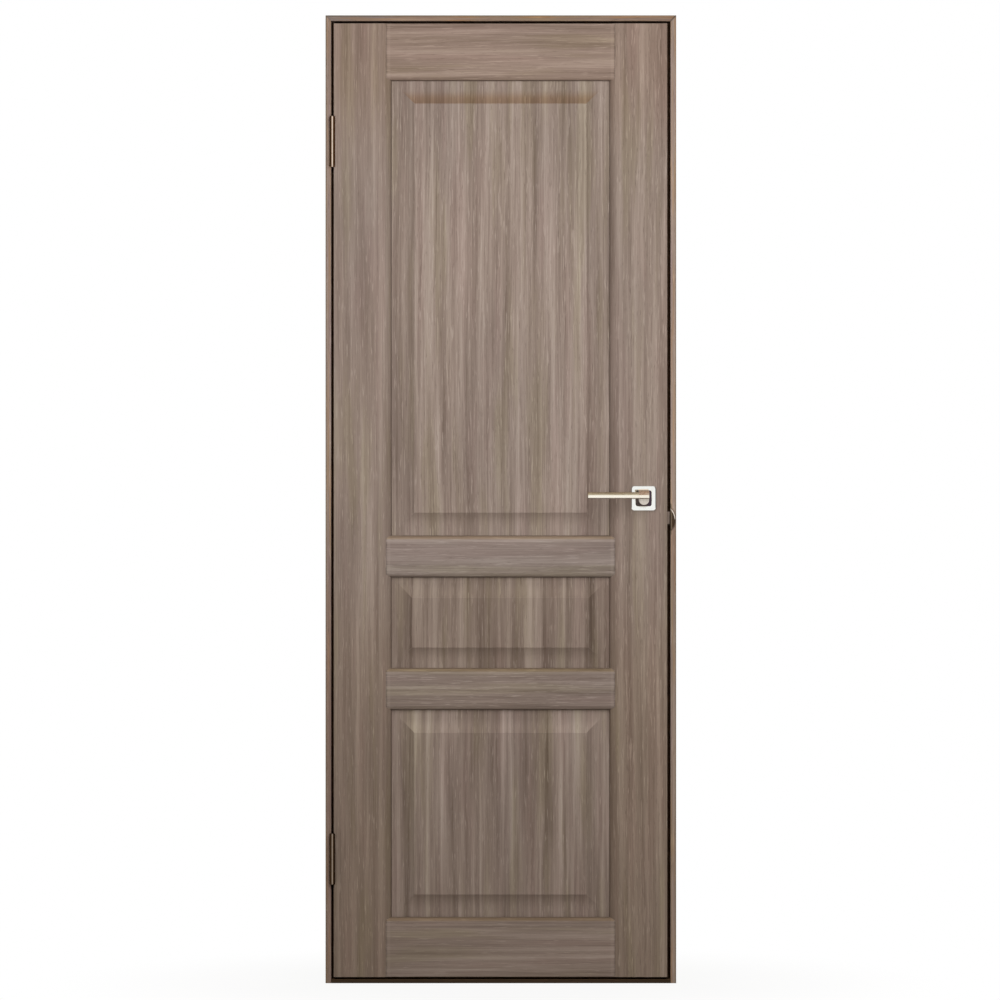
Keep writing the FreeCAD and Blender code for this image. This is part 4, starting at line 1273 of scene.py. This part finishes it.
def build_camera(lens):
    """Camera straight in front, as far off as its lens needs for the photo's scale."""
    data = bpy.data.cameras.new("photo_camera")
    data.sensor_width = SENSOR * 1000.0
    data.lens = lens
    data.clip_end = VIEW_END
    camera = bpy.data.objects.new("photo_camera", data)
    bpy.context.scene.collection.objects.link(camera)
    distance = METRES_PER_PIXEL * PHOTO_SIDE * lens / 1000.0 / SENSOR
    across = leaf_middle_x + (PHOTO_SIDE / 2.0 - LEAF_MIDDLE_PIXEL) * METRES_PER_PIXEL
    height = (FLOOR_PIXEL - PHOTO_SIDE / 2.0) * METRES_PER_PIXEL
    camera.location = (across, leaf_low.y - distance, height)
    camera.rotation_euler = (math.pi / 2.0, 0.0, 0.0)
    bpy.context.scene.camera = camera


class DOOR_OT_stage(DoorStep, bpy.types.Operator):
    """Set up the pale floor, the soft lamps, the white room and the camera"""
    bl_idname = "door.stage"
    bl_label = "Studio"

    def execute(self, context):
        stage = context.scene.door_stage
        build_floor()
        build_air(stage.air)
        front = (leaf_middle_x + stage.key_side, leaf_low.y - stage.key_distance, stage.key_height)
        add_lamp("key_lamp", front, (front[0], 0.0, front[2]), stage.key_size, stage.key_power)
        across, behind, height = REAR_LAMP_PLACE
        target = (leaf_middle_x, 0.0, REAR_LAMP_TARGET_HEIGHT)
        for name, side in (("rear_lamp_left", -1.0), ("rear_lamp_right", 1.0)):
            place = (leaf_middle_x + side * across, behind, height)
            add_lamp(name, place, target, REAR_LAMP_SIZE, stage.rear_power)
        build_camera(stage.lens)
        context.scene.view_settings.view_transform = "Standard"
        return {"FINISHED"}


# The add-on

STEPS = (
    DOOR_OT_node_groups, DOOR_OT_stiles, DOOR_OT_rails, DOOR_OT_panels, DOOR_OT_frame, DOOR_OT_threshold,
    DOOR_OT_seals, DOOR_OT_hinges, DOOR_OT_latch, DOOR_OT_roses, DOOR_OT_levers, DOOR_OT_hinge_screws,
    DOOR_OT_latch_screws, DOOR_OT_stage,
)
SETTINGS = {
    "door_wood": DOOR_PG_wood, "door_metal": DOOR_PG_metal,
    "door_screws": DOOR_PG_screws, "door_stage": DOOR_PG_stage,
}


class DOOR_PT_finish(bpy.types.Panel):
    """Steps and settings of the door's finish"""
    bl_idname = "DOOR_PT_finish"
    bl_label = "Interior Door"
    bl_space_type = "VIEW_3D"
    bl_region_type = "UI"
    bl_category = "Door"

    def draw(self, context):
        layout = self.layout
        for step in STEPS:
            layout.operator(step.bl_idname)
        for group in SETTINGS:
            settings = getattr(context.scene, group)
            box = layout.box()
            for name in settings.bl_rna.properties.keys():
                if name not in ("name", "rna_type"):
                    box.prop(settings, name)


def register():
    for made in (*SETTINGS.values(), *STEPS, DOOR_PT_finish):
        bpy.utils.register_class(made)
    for name, group in SETTINGS.items():
        setattr(bpy.types.Scene, name, PointerProperty(type=group))


def unregister():
    for name in SETTINGS:
        delattr(bpy.types.Scene, name)
    for made in reversed((*SETTINGS.values(), *STEPS, DOOR_PT_finish)):
        bpy.utils.unregister_class(made)


def main():
    """Registers the add-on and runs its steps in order."""
    register()
    bpy.ops.door.node_groups()
    bpy.ops.door.stiles()
    bpy.ops.door.rails()
    bpy.ops.door.panels()
    bpy.ops.door.frame()
    bpy.ops.door.threshold()
    bpy.ops.door.seals()
    bpy.ops.door.hinges()
    bpy.ops.door.latch()
    bpy.ops.door.roses()
    bpy.ops.door.levers()
    bpy.ops.door.hinge_screws()
    bpy.ops.door.latch_screws()
    bpy.ops.door.stage()


if __name__ == "__main__":
    main()
